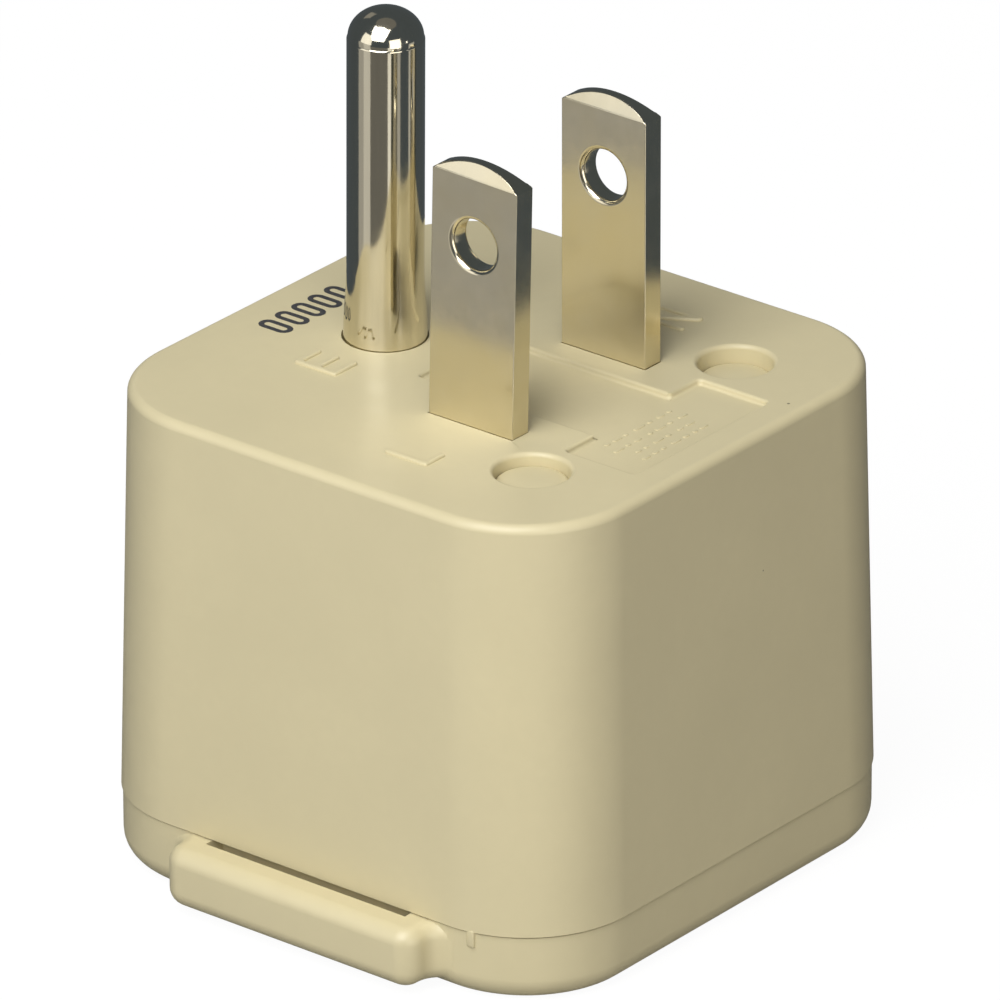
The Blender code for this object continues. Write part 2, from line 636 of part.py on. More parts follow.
def make_earth_pin():
    """The round earth pin: flattened dome, shank, collar, flange, neck and headed tail."""
    radius = EARTH_DIAMETER / 2
    tip = BODY_HEIGHT + EARTH_LENGTH
    crease = tip - EARTH_DOME
    dome = []
    steps = 8
    for step in range(steps + 1):
        angle = math.pi / 2 * step / steps
        dome.append((radius * math.sin(angle), crease + EARTH_DOME * math.cos(angle)))
    collar_top = BODY_HEIGHT + EARTH_COLLAR_HEIGHT
    collar = EARTH_COLLAR / 2
    flange_top = PLUG_UNDERSIDE - SEAT
    flange_low = flange_top - EARTH_FLANGE_THICKNESS
    bridge_top = EARTH_BRIDGE_LOW + STRIP
    tail = EARTH_TAIL / 2
    head_top = EARTH_BRIDGE_LOW - SEAT - WASHER_THICKNESS - SEAT
    head_low = head_top - EARTH_HEAD_THICKNESS
    profile = dome + [
        (radius, collar_top + (collar - radius)), (collar, collar_top), (collar, flange_top),
        (EARTH_FLANGE / 2, flange_top), (EARTH_FLANGE / 2, flange_low), (EARTH_NECK / 2, flange_low),
        (EARTH_NECK / 2, bridge_top + SEAT), (tail, bridge_top + SEAT), (tail, head_top),
        (tail + EARTH_HEAD_RIM, head_top), (tail + EARTH_HEAD_RIM, head_low), (0, head_low)]
    pin = turned("earth_pin", profile, NICKEL, 0.12, 1.0)
    pin.location.x = EARTH_X
    return pin


def make_washer():
    """The plain washer between the earth contact, whose leaves it clears, and the pin's head."""
    high = EARTH_BRIDGE_LOW - SEAT
    low = high - WASHER_THICKNESS
    inner = EARTH_TAIL / 2 + FIT
    outer = EARTH_PIN_GAP / 2 - SEAT
    washer = turned("earth_washer", [(inner, high), (outer, high), (outer, low), (inner, low)],
                    BRASS, 0.35, 1.0, SMALL_STEPS, closed=True)
    washer.location.x = EARTH_X
    return washer


def leaf_outline(end):
    """A pole contact's leaf in plan: wide for flat pins, narrow for round and square ones.

    end is -1 for the leaf nearer the earth pin and 1 for the other. Y is the distance out.
    """
    wide = FLAT_PIN_GAP / 2
    narrow = ROUND_PIN_GAP / 2
    bend = FLAT_PIN_REACH + (wide - narrow)
    inner = [(wide, FLAT_PIN_END), (wide, FLAT_PIN_REACH), (narrow, bend), (narrow, ROUND_PIN_END)]
    outer = [(x + STRIP, y) for x, y in reversed(inner)]
    return [(SOCKET_ROW + end * x, y) for x, y in inner + outer]


def mirrored(mesh, side):
    """Mirror a mesh that is drawn on the +Y side to the side that is asked for."""
    if side < 0:
        bm = bmesh.new()
        bm.from_mesh(mesh)
        bmesh.ops.scale(bm, vec=(1, -1, 1), verts=bm.verts)
        bmesh.ops.reverse_faces(bm, faces=bm.faces)
        bm.to_mesh(mesh)
        bm.free()
    return mesh


def make_pole_contact(side_name, side):
    """A pole's contact: two leaves under a bridge, and a tab that rises to the blade's root."""
    leaf = mirrored(prism("leaf", leaf_outline(-1), CONTACT_LOW, CONTACT_HIGH), side)
    contact = add_piece(side_name + "_contact", leaf, BRASS, 0.3, 1.0)
    other = prism("leaf", leaf_outline(1), CONTACT_LOW, CONTACT_HIGH)
    join(contact, "outer_leaf", mirrored(other, side))
    reach = FLAT_PIN_GAP / 2 + STRIP
    bridge = cuboid("bridge", (SOCKET_ROW - reach, FLAT_PIN_END, CONTACT_HIGH - STRIP),
                    (SOCKET_ROW + reach, ROUND_PIN_END - STRIP, CONTACT_HIGH))
    join(contact, "bridge", mirrored(bridge, side))
    tab_far = BLADE_PITCH / 2 - BLADE_THICKNESS / 2 - SEAT
    tab_near = tab_far - STRIP
    tab_top = CARRIER_BOSS_TOP
    riser = cuboid("riser", (LEAF_X, tab_near, CONTACT_HIGH - 2 * STRIP),
                   (LEAF_X + STRIP, FLAT_PIN_REACH - STRIP, tab_top))
    join(contact, "riser", mirrored(riser, side))
    tab = cuboid("tab", (PLUG_OFFSET - BLADE_WIDTH / 2, tab_near, BLADE_ROOT),
                 (LEAF_X + STRIP / 2, tab_far, tab_top - FIT))
    join(contact, "tab", mirrored(tab, side))
    for number, x in enumerate(rivet_places(), 1):
        cut(contact, "rivet_hole_" + str(number), across(
            "rivet_hole", RIVET_SHANK + 2 * FIT, tab_near - PAST, tab_far + PAST, x,
            BLADE_ROOT + RIVET_RISE, side))
    return contact


def make_rivets(side_name, side):
    """The two rivets that hold a blade's root to its contact's tab."""
    far = BLADE_PITCH / 2 + BLADE_THICKNESS / 2 + SEAT
    near = BLADE_PITCH / 2 - BLADE_THICKNESS / 2 - SEAT - STRIP - SEAT
    shank = RIVET_SHANK / 2
    head = RIVET_HEAD / 2
    rim = RIVET_HEAD_THICKNESS / 2
    profile = [(0, far + 2 * rim), (head - rim, far + 2 * rim), (head, far + rim), (head, far),
               (shank, far), (shank, near), (head, near), (head, near - rim),
               (head - rim, near - 2 * rim), (0, near - 2 * rim)]
    for number, x in enumerate(rivet_places(), 1):
        rivet = turned(side_name + "_rivet_" + str(number), profile, BRASS, 0.3, 1.0, SMALL_STEPS)
        rivet.rotation_euler.x = -side * math.pi / 2
        rivet.location = (x, 0, BLADE_ROOT + RIVET_RISE)


def make_earth_contact():
    """The earth contact: two long leaves folded down from a bridge that the pin is headed over."""
    inner = EARTH_PIN_GAP / 2
    top = EARTH_BRIDGE_LOW + STRIP
    bridge = cuboid("bridge", (EARTH_BRIDGE_START, -EARTH_BRIDGE_WIDTH / 2, EARTH_BRIDGE_LOW),
                    (EARTH_BRIDGE_END, EARTH_BRIDGE_WIDTH / 2, top))
    contact = add_piece("earth_contact", bridge, BRASS, 0.3, 1.0)
    for side_name, side in sides():
        y_low, y_high = span(side, inner, inner + STRIP)
        join(contact, "leaf_" + side_name, cuboid("leaf", (EARTH_LEAF_START, y_low, CONTACT_LOW),
                                                  (EARTH_LEAF_END, y_high, top - STRIP / 2)))
    cut(contact, "pin_hole", disc("hole", EARTH_TAIL + 2 * FIT, EARTH_BRIDGE_LOW - PAST,
                                  top + PAST, EARTH_X, 0))
    return contact


def make_carrier():
    """The insulating carrier: a plate with a shroud round each contact, and two screw bosses."""
    half = half_width_at(CARRIER_TOP) - BODY_WALL - SEAT
    corner = BODY_CORNER - BODY_WALL - SEAT
    plate = rounded_block("contact_carrier", half, half, CARRIER_UNDERSIDE, CARRIER_TOP, corner)
    carrier = add_piece("contact_carrier", plate, INNER_PLASTIC, 0.5, 0.0)
    middle = CARRIER_UNDERSIDE + CARRIER_PLATE / 2
    reach = FLAT_PIN_GAP / 2 + STRIP + SEAT
    for name, side in sides():
        y_low, y_high = span(side, FLAT_PIN_END - SEAT - CARRIER_WALL,
                             POLE_POCKET_END + CARRIER_WALL)
        join(carrier, "shroud_" + name, cuboid(
            "shroud", (SOCKET_ROW - reach - CARRIER_WALL, y_low, CARRIER_LOW),
            (SOCKET_ROW + reach + CARRIER_WALL, y_high, middle)))
        join(carrier, "boss_" + name, disc("boss", CARRIER_BOSS, middle, CARRIER_BOSS_TOP,
                                           SCREW_AXIS_X, side * SCREW_PITCH / 2))
    join_earth_seat(carrier, middle)
    combine(carrier, "outline", rounded_block("outline", half, half, CARRIER_LOW - PAST,
                                              CARRIER_BOSS_TOP + PAST, corner), "INTERSECT")
    for name, side in sides():
        y_low, y_high = span(side, FLAT_PIN_END - SEAT, POLE_POCKET_END)
        cut(carrier, "pocket_" + name, cuboid(
            "pocket", (SOCKET_ROW - reach, y_low, CARRIER_LOW - PAST),
            (SOCKET_ROW + reach, y_high, CARRIER_UNDERSIDE)))
        tab_near = BLADE_PITCH / 2 - BLADE_THICKNESS / 2 - SEAT - STRIP
        y_low, y_high = span(side, tab_near - SEAT, FLAT_PIN_REACH)
        cut(carrier, "riser_slot_" + name, cuboid(
            "riser_slot", (LEAF_X - SEAT, y_low, CARRIER_UNDERSIDE - PAST),
            (LEAF_X + STRIP + SEAT, y_high, CARRIER_TOP + PAST)))
        shank_low = SCREW_SEAT_TOP + SEAT - SCREW_LENGTH
        cut(carrier, "pilot_" + name, disc("pilot", SCREW_SHANK + 2 * SEAT, shank_low - SEAT,
                                           CARRIER_BOSS_TOP + PAST, SCREW_AXIS_X,
                                           side * SCREW_PITCH / 2))
    cut(carrier, "earth_opening", cuboid(
        "earth_opening", (EARTH_POCKET_START, -EARTH_PIN_GAP / 2 - STRIP - SEAT,
                          CARRIER_LOW - PAST),
        (EARTH_LEAF_END + SEAT, EARTH_PIN_GAP / 2 + STRIP + SEAT, EARTH_BRIDGE_LOW + PAST)))
    return carrier


def join_earth_seat(carrier, middle):
    """The shroud round the earth contact's leaves, and the block that its bridge sits on."""
    inner = EARTH_PIN_GAP / 2 + STRIP + SEAT + CARRIER_WALL
    join(carrier, "earth_shroud", cuboid(
        "earth_shroud", (EARTH_POCKET_START - CARRIER_WALL, -inner, CARRIER_LOW),
        (EARTH_LEAF_END + SEAT + CARRIER_WALL, inner, middle)))
    join(carrier, "earth_rails", cuboid(
        "earth_rails", (EARTH_BRIDGE_START, -EARTH_BRIDGE_WIDTH / 2, middle),
        (EARTH_BRIDGE_END, EARTH_BRIDGE_WIDTH / 2, EARTH_BRIDGE_LOW - SEAT)))


def make_screw(side_name, side):
    """A carrier screw: pan head with a cross recess, and a pointed shank."""
    head_low = SCREW_SEAT_TOP + SEAT
    head_top = head_low + SCREW_HEAD_HEIGHT
    shank = SCREW_SHANK / 2
    head = SCREW_HEAD / 2
    rim = SCREW_HEAD_HEIGHT / 3
    point = head_low - SCREW_LENGTH
    profile = [(0, head_top), (head - rim, head_top), (head, head_top - rim), (head, head_low),
               (shank, head_low), (shank, point + shank), (0, point)]
    screw = turned("carrier_screw_" + side_name, profile, STEEL, 0.3, 1.0, SMALL_STEPS)
    screw.location = (SCREW_AXIS_X, side * SCREW_PITCH / 2, 0)
    long = SCREW_DRIVE_LENGTH / 2
    thin = SCREW_DRIVE_WIDTH / 2
    y = side * SCREW_PITCH / 2
    for number, (reach_x, reach_y) in enumerate(((long, thin), (thin, long))):
        cut(screw, "drive_" + str(number), cuboid(
            "drive", (SCREW_AXIS_X - reach_x, y - reach_y, head_top - SCREW_DRIVE_DEPTH),
            (SCREW_AXIS_X + reach_x, y + reach_y, head_top + PAST)))
    return screw


def make_screw_plug(side_name, side):
    """A press-in plug over a screw, a little below the plug face and slightly domed."""
    radius = PLUG_HOLE / 2 - FIT
    edge = BODY_HEIGHT - PLUG_DEPTH
    low = edge - PLUG_THICKNESS
    profile = []
    steps = FILLET_STEPS
    dome_radius = radius - PLUG_CAP_EDGE
    for step in range(steps + 1):
        reach = dome_radius * step / steps
        drop = PLUG_DOME * (reach / dome_radius) ** 2
        profile.append((reach, edge + PLUG_DOME - drop))
    for step in range(1, steps + 1):
        angle = math.pi / 2 * step / steps
        profile.append((dome_radius + PLUG_CAP_EDGE * math.sin(angle),
                        edge - PLUG_CAP_EDGE + PLUG_CAP_EDGE * math.cos(angle)))
    profile += [(radius, low), (0, low)]
    plug = turned("screw_plug_" + side_name, profile, BEIGE, 0.42, 0.0, PIN_STEPS)
    plug.location = (SCREW_AXIS_X, side * SCREW_PITCH / 2, 0)
    return plug


clear_scene()
parts = make_collection("travel_plug_adapter")
cutters = make_collection("cutters")
axis = bpy.data.objects.new("adapter_axis", None)
parts.objects.link(axis)
axis.location.y = BODY_Y

make_housing()
make_cover()
make_carrier()
make_earth_pin()
make_washer()
make_earth_contact()
for pole_name, pole_side in sides():
    make_blade(pole_name, pole_side)
    make_pole_contact(pole_name, pole_side)
    make_rivets(pole_name, pole_side)
    make_screw(pole_name, pole_side)
    make_screw_plug(pole_name, pole_side)
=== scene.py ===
"""Travel plug adapter: its finished pieces, its stage and its camera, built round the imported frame.

Lengths are in metres and angles in radians unless a name says otherwise. The adapter stands on its
socket face at height 0, its pins point up, and the lip with the long slot is on the -Y side.
"""

import math

import bmesh
import bpy
from mathutils import Matrix, Vector


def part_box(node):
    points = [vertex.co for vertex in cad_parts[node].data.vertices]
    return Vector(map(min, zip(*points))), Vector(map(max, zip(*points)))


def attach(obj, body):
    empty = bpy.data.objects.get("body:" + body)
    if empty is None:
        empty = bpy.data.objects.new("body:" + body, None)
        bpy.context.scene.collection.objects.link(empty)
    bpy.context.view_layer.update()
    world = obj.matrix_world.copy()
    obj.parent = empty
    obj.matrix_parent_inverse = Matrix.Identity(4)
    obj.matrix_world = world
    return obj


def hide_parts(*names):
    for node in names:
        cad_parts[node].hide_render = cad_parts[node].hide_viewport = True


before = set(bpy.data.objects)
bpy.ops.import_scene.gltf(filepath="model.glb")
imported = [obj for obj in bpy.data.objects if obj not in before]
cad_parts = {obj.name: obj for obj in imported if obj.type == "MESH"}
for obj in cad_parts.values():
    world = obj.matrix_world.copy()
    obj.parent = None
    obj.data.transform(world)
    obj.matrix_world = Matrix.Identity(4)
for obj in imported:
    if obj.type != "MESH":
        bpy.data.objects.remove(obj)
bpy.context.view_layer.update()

bl_info = {
    "name": "Travel Plug Adapter",
    "version": (1, 0, 0),
    "blender": (4, 5, 0),
    "location": "3D View > Sidebar > Plug Adapter",
    "description": "Builds a moulded travel plug adapter with its pins, socket cover, stage and camera",
    "category": "Object",
}

mm = 0.001

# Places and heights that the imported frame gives
HOUSING_LOW, HOUSING_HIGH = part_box("housing")
BLADE_LOW, BLADE_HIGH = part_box("line_blade")
PIN_LOW, PIN_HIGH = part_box("earth_pin")
PLUG_BOX_LOW, PLUG_BOX_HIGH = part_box("screw_plug_line")
BODY_Y = (HOUSING_LOW.y + HOUSING_HIGH.y) / 2
BODY_HALF = (HOUSING_HIGH.x - HOUSING_LOW.x) / 2
PARTING = HOUSING_LOW.z
EARTH_X = (PIN_LOW.x + PIN_HIGH.x) / 2
BLADE_X = (BLADE_LOW.x + BLADE_HIGH.x) / 2
BLADE_ROOT = BLADE_LOW.z
BLADE_TIP = BLADE_HIGH.z
SCREW_X = (PLUG_BOX_LOW.x + PLUG_BOX_HIGH.x) / 2

# Heights inside the body
PLUG_FACE = 31.0 * mm
PLUG_UNDERSIDE = 28.6 * mm
SEAT = 0.3 * mm
FIT = 0.15 * mm
BLADE_GAP = 0.05 * mm
PIN_GAP = 0.1 * mm
PARTING_GAP = 0.09 * mm
PAST = 1.0 * mm

# Facets, and how near two values have to be to count as equal or as touching
CORNER_STEPS = 22
HIDDEN_STEPS = 10
EDGE_STEPS = 8
FILLET_STEPS = 6
ROUNDING_STEPS = 6
ROUND_STEPS = 96
SOFT_ANGLE = math.radians(32)
SAME = 0.002 * mm
TOUCH = 0.01 * mm

# Camera that was fitted to the blades, the pin and the edges of the body
CAMERA_AZIMUTH = math.radians(38.768)
CAMERA_ELEVATION = math.radians(25.325)
CAMERA_ROLL = math.radians(-0.125)
CAMERA_DISTANCE = 837.4 * mm
CAMERA_SHARPNESS = 16.790 / mm
CAMERA_AIM = (547.0, 385.7)
PHOTO_WIDTH = 1000
SENSOR = 36.0


def linear(hex_colour):
    """An sRGB hex colour as linear red, green, blue and alpha."""
    values = [int(hex_colour[place:place + 2], 16) / 255 for place in (1, 3, 5)]
    return tuple(v / 12.92 if v <= 0.04045 else ((v + 0.055) / 1.055) ** 2.4 for v in values) + (1.0,)


def length(name, description, default):
    """A size in metres for the sidebar."""
    return bpy.props.FloatProperty(name=name, description=description, default=default, min=0.0,
                                   unit="LENGTH", subtype="DISTANCE", precision=5)


def colour(name, description, default):
    """A colour for the sidebar, given as sRGB hex."""
    return bpy.props.FloatVectorProperty(name=name, description=description, size=4, min=0.0,
                                         max=1.0, subtype="COLOR", default=linear(default))


class AdapterSizes(bpy.types.PropertyGroup):
    """Sizes of the moulded body, its cover and its pins."""
    body_width: length("Body width", "Outer width of the body at the plug face", 35.7 * mm)
    body_corner: length("Body corner", "Radius of the body's upright corners", 7.5 * mm)
    top_fillet: length("Top edge", "Rounding round the plug face", 0.58 * mm)
    body_wall: length("Wall", "Thickness of the body's walls", 2.0 * mm)
    recess_depth: length("Recess depth", "Depth of the T-shaped recess", 0.35 * mm)
    letter_stroke: length("Letter stroke", "Width of the raised letters' strokes", 0.42 * mm)
    letter_raise: length("Letter height", "How far the letters stand up", 0.17 * mm)
    plug_hole: length("Screw hole", "Width of the round holes over the screws", 4.6 * mm)
    plug_depth: length("Plug depth", "How far the screw plugs lie under the plug face", 0.72 * mm)
    cover_inset: length("Cover inset", "How far the cover stands inside the body's line", 0.1 * mm)
    cover_fillet: length("Cover edge", "Rounding round the socket face", 1.6 * mm)
    lip_reach: length("Lip reach", "How far the lip stands out", 2.6 * mm)
    lip_width: length("Lip width", "Width of the lip", 19.15 * mm)
    slot_width: length("Slot width", "Width of the long slot behind the lip", 0.62 * mm)
    blade_width: length("Blade width", "Width of the flat blades", 6.35 * mm)
    blade_thickness: length("Blade thickness", "Thickness of the flat blades", 1.52 * mm)
    blade_pitch: length("Blade pitch", "Distance between the blades' middles", 12.7 * mm)
    pin_diameter: length("Earth pin", "Diameter of the earth pin", 4.7 * mm)
    collar_diameter: length("Collar", "Diameter of the collar at the earth pin's foot", 5.1 * mm)


class AdapterColours(bpy.types.PropertyGroup):
    """Colours of the plastics and metals."""
    shell: colour("Shell", "Moulded shell and cover", "#D3C8A2")
    inner: colour("Carrier", "Moulded contact carrier", "#DAD5C4")
    nickel: colour("Nickel", "Plating on the blades and the earth pin", "#DDD6C2")
    brass: colour("Brass", "Contacts, rivets and washer", "#C9A45C")
    zinc: colour("Zinc", "Plated screws", "#B9BCC0")
    ink: colour("Ink", "Printed marks", "#33343A")
    floor: colour("Floor", "Floor under the adapter", "#A6A6A6")


# Modelling helpers: each one works on the mesh in world coordinates, with its object at the origin


def deselect():
    """Leave edit mode and select nothing."""
    if bpy.context.object and bpy.context.object.mode != "OBJECT":
        bpy.ops.object.mode_set(mode="OBJECT")
    bpy.ops.object.select_all(action="DESELECT")


def activate(piece):
    deselect()
    piece.select_set(True)
    bpy.context.view_layer.objects.active = piece


def settle(name):
    """Name the new object and put its place into its mesh."""
    piece = bpy.context.object
    piece.name = name
    piece.data.name = name
    bpy.ops.object.transform_apply(location=True, rotation=True, scale=True)
    return piece


def add_box(name, low, high):
    deselect()
    middle = [(a + b) / 2 for a, b in zip(low, high)]
    size = [b - a for a, b in zip(low, high)]
    bpy.ops.mesh.primitive_cube_add(size=1, location=middle, scale=size)
    return settle(name)


def add_drum(name, diameter, start, end, steps=ROUND_STEPS):
    """A cylinder between two points."""
    deselect()
    start, end = Vector(start), Vector(end)
    turn = (end - start).to_track_quat("Z", "Y").to_euler()
    bpy.ops.mesh.primitive_cylinder_add(vertices=steps, radius=diameter / 2,
                                        depth=(end - start).length,
                                        location=(start + end) / 2, rotation=turn)
    return settle(name)


def pick(piece, kind, test):
    """Select the edges, faces or vertices of a piece that pass a test, in edit mode."""
    activate(piece)
    bpy.ops.object.mode_set(mode="EDIT")
    bpy.ops.mesh.select_mode(type=kind)
    bpy.ops.mesh.select_all(action="DESELECT")
    bm = bmesh.from_edit_mesh(piece.data)
    items = {"VERT": bm.verts, "EDGE": bm.edges, "FACE": bm.faces}[kind]
    found = [item for item in items if test(item)]
    if not found:
        raise RuntimeError("nothing to shape on " + piece.name)
    for item in found:
        item.select_set(True)
    bm.select_flush_mode()
    bmesh.update_edit_mesh(piece.data)
    return len(found)


def round_edges(piece, test, width, steps=FILLET_STEPS):
    """Round the edges that pass a test."""
    pick(piece, "EDGE", test)
    bpy.ops.mesh.bevel(offset_type="OFFSET", offset=width, segments=steps, profile=0.5,
                       affect="EDGES", clamp_overlap=False, loop_slide=False)
    deselect()


def push_faces(piece, test, reach):
    """Extrude the faces that pass a test by a vector."""
    pick(piece, "FACE", test)
    bpy.ops.mesh.extrude_region_move(TRANSFORM_OT_translate={"value": reach})
    deselect()


def carve(piece, tool, operation="DIFFERENCE"):
    """Cut a piece with another, or join it on, and use the other one up."""
    activate(piece)
    bpy.ops.object.modifier_add(type="BOOLEAN")
    modifier = piece.modifiers[-1]
    modifier.operation = operation
    modifier.solver = "EXACT"
    modifier.object = tool
    bpy.ops.object.modifier_apply(modifier=modifier.name)
    bpy.data.objects.remove(tool)


def join(piece, tool):
    carve(piece, tool, "UNION")


def duplicate(piece, name, move=(0, 0, 0), quarter_turns=0):
    """A copy with its own mesh, moved, or turned about the body's axis."""
    activate(piece)
    bpy.ops.object.duplicate(linked=False)
    if quarter_turns:
        bpy.ops.transform.rotate(value=-quarter_turns * math.pi / 2, orient_axis="Z",
                                 center_override=(0, BODY_Y, 0))
    bpy.ops.transform.translate(value=move)
    return settle(name)


def trace(name, outline, low, high):
    """Draw an outline in plan point by point, fill it, and pull it up between two heights."""
    deselect()
    bpy.ops.mesh.primitive_plane_add(size=1 * mm, location=(*outline[0], low))
    piece = settle(name)
    activate(piece)
    bpy.ops.object.mode_set(mode="EDIT")
    bpy.ops.mesh.select_mode(type="VERT")
    bpy.ops.mesh.select_all(action="SELECT")
    bpy.ops.mesh.merge(type="CENTER")
    for here, there in zip(outline, outline[1:]):
        step = (there[0] - here[0], there[1] - here[1], 0)
        bpy.ops.mesh.extrude_region_move(TRANSFORM_OT_translate={"value": step})
    bpy.ops.mesh.select_all(action="SELECT")
    bpy.ops.mesh.edge_face_add()
    bpy.ops.mesh.extrude_region_move(TRANSFORM_OT_translate={"value": (0, 0, high - low)})
    bpy.ops.mesh.select_all(action="SELECT")
    bpy.ops.mesh.normals_make_consistent(inside=False)
    deselect()
    return piece


def turn(name, rings, x, y, steps=ROUND_STEPS):
    """A turned piece, drawn up from its lowest ring: each ring is (radius, height)."""
    deselect()
    radius, height = rings[0]
    bpy.ops.mesh.primitive_circle_add(vertices=steps, radius=radius, fill_type="NGON",
                                      location=(x, y, height))
    piece = settle(name)
    activate(piece)
    bpy.ops.object.mode_set(mode="EDIT")
    bpy.ops.mesh.select_mode(type="FACE")
    bpy.ops.mesh.select_all(action="SELECT")
    for next_radius, next_height in rings[1:]:
        bpy.ops.mesh.extrude_region_move(
            TRANSFORM_OT_translate={"value": (0, 0, next_height - height)})
        share = next_radius / radius
        bpy.ops.transform.resize(value=(share, share, 1), center_override=(x, y, next_height))
        radius, height = next_radius, next_height
    bpy.ops.mesh.select_all(action="SELECT")
    bpy.ops.mesh.normals_make_consistent(inside=False)
    deselect()
    return piece


def soften(piece, width, steps=3, angle=SOFT_ANGLE):
    """Round every remaining crease a little, as a mould or a tumbling barrel leaves it."""
    activate(piece)
    bpy.ops.object.modifier_add(type="BEVEL")
    modifier = piece.modifiers[-1]
    modifier.width = width
    modifier.segments = steps
    modifier.limit_method = "ANGLE"
    modifier.angle_limit = angle
    modifier.use_clamp_overlap = True
    modifier.miter_outer = "MITER_ARC"
    bpy.ops.object.modifier_apply(modifier=modifier.name)


def finish_piece(piece, material, replaced=()):
    """Shade a piece, give it its material, and tie it to the frame."""
    activate(piece)
    bpy.ops.object.shade_smooth_by_angle(angle=SOFT_ANGLE)
    bpy.ops.object.modifier_add(type="WEIGHTED_NORMAL")
    modifier = piece.modifiers[-1]
    modifier.keep_sharp = True
    modifier.weight = 50
    bpy.ops.object.modifier_apply(modifier=modifier.name)
    bpy.ops.object.modifier_add(type="TRIANGULATE")
    modifier = piece.modifiers[-1]
    modifier.min_vertices = 5
    modifier.keep_custom_normals = True
    bpy.ops.object.modifier_apply(modifier=modifier.name)
    piece.data.materials.clear()
    piece.data.materials.append(material)
    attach(piece, "root")
    if replaced:
        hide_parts(*replaced)
    return piece


# Tests that find edges and faces by their place


def same(a, b):
    return abs(a - b) < SAME


def upright(edge):
    start, end = (vert.co for vert in edge.verts)
    return same(start.x, end.x) and same(start.y, end.y)


def nearly_upright(edge):
    start, end = (vert.co for vert in edge.verts)
    return abs(start.z - end.z) > 3 * math.hypot(start.x - end.x, start.y - end.y)


def level_at(height):
    return lambda edge: all(same(vert.co.z, height) for vert in edge.verts)


def facing(axis, value):
    """Faces that lie flat across an axis at a value."""
    return lambda face: all(same(vert.co[axis], value) for vert in face.verts)


def within(low, high):
    """Edges or faces inside a box."""
    def test(item):
        return all(low[i] - SAME <= vert.co[i] <= high[i] + SAME
                   for vert in item.verts for i in range(3))
    return test


# Node helpers


def feed(owner, node, inputs):
    """Set each input of a node to a fixed value, or join it to another node's output."""
    for name, value in inputs.items():
        if isinstance(value, bpy.types.NodeSocket):
            owner.node_tree.links.new(value, node.inputs[name])
        else:
            node.inputs[name].default_value = value


def add_node(owner, kind, inputs=None, output=0, **settings):
    """Add a node with its settings and inputs, and give the output that is asked for."""
    node = owner.node_tree.nodes.new("ShaderNode" + kind)
    for name, value in settings.items():
        setattr(node, name, value)
    feed(owner, node, inputs or {})
    return node.outputs[output] if node.outputs else node


def start_material(name):
    """A material with its shader, and the object's own coordinates."""
    material = bpy.data.materials.new(name)
    material.use_nodes = True
    shader = material.node_tree.nodes["Principled BSDF"]
    return material, shader, add_node(material, "TexCoord", output="Object")


def add_pattern(material, place, size, low, high, detail=2.0, roughness=0.5):
    """A cloudy pattern with features of about one size, spread between two limits."""
    noise = add_node(material, "TexNoise", {"Vector": place, "Scale": 1 / size, "Detail": detail,
                                            "Roughness": roughness})
    return add_node(material, "MapRange", {"Value": noise, "From Min": 0.3, "From Max": 0.7,
                                           "To Min": low, "To Max": high})


def add_stain(material, place, size, base, stain, low, high, detail=2.0, roughness=0.5):
    """A base tint with a second tint over it in a cloudy pattern."""
    amount = add_pattern(material, place, size, low, high, detail, roughness)
    return add_node(material, "Mix", {0: amount, 6: base, 7: stain}, 2, data_type="RGBA")


def add_relief(material, place, size, depth, strength, detail=1.0, roughness=0.5, under=None):
    """Bumps of about one size and depth, laid over another relief where one is given."""
    noise = add_node(material, "TexNoise", {"Vector": place, "Scale": 1 / size, "Detail": detail,
                                            "Roughness": roughness})
    inputs = {"Height": noise, "Distance": depth, "Strength": strength}
    if under:
        inputs["Normal"] = under
    return add_node(material, "Bump", inputs)


def seen_directly(owner):
    """1 for camera, glossy and transmission rays, and 0 for the light that falls on things."""
    rays = [add_node(owner, "LightPath", output="Is " + kind + " Ray")
            for kind in ("Camera", "Glossy", "Transmission")]
    first = add_node(owner, "Math", {0: rays[0], 1: rays[1]}, operation="MAXIMUM")
    return add_node(owner, "Math", {0: first, 1: rays[2]}, operation="MAXIMUM")


def shade(rgba, share):
    """A colour made darker or lighter by a share."""
    return tuple(min(1.0, value * share) for value in rgba[:3]) + (1.0,)


# Materials, and the few dark specks in the plastic: each one's place and radius
ABS_IOR = 1.53
NYLON_IOR = 1.53
SPECK_COLOUR = "#3A3328"
SPECKS = (
    ((16.6 * mm, 8.2 * mm, 31.0 * mm), 0.11 * mm),
    ((-9.0 * mm, -17.1 * mm, 17.0 * mm), 0.07 * mm),
    ((18.0 * mm, 4.0 * mm, 22.0 * mm), 0.07 * mm),
)


def moulded_abs(name, rgba):
    """Moulded ABS: an even beige with a soft sheen.

    The mould's polish leaves a very fine grain, slow flows in the melt vary the tint by one or two
    hundredths, and the walls shrink a few micrometres, which bends the reflections a little.
    """
    material, shader, place = start_material(name)
    tint = add_stain(material, place, 9 * mm, shade(rgba, 0.975), shade(rgba, 1.02), 0.0, 1.0, 3.0)
    tint = add_stain(material, place, 0.9 * mm, tint, shade(rgba, 0.965), 0.0, 0.35)
    tint = add_node(material, "Mix", {0: add_specks(material, place), 6: tint, 7: linear(SPECK_COLOUR)},
                    2, data_type="RGBA")
    shrink = add_relief(material, place, 7 * mm, 0.02 * mm, 0.5)
    # The real grain is about 0.03 mm; it is drawn at 0.12 mm so that it shows
    grain = add_relief(material, place, 0.12 * mm, 0.002 * mm, 0.6, under=shrink)
    sheen = add_pattern(material, place, 2.2 * mm, 0.36, 0.43)
    feed(material, shader, {"Base Color": tint, "Roughness": sheen, "IOR": ABS_IOR, "Normal": grain})
    return material


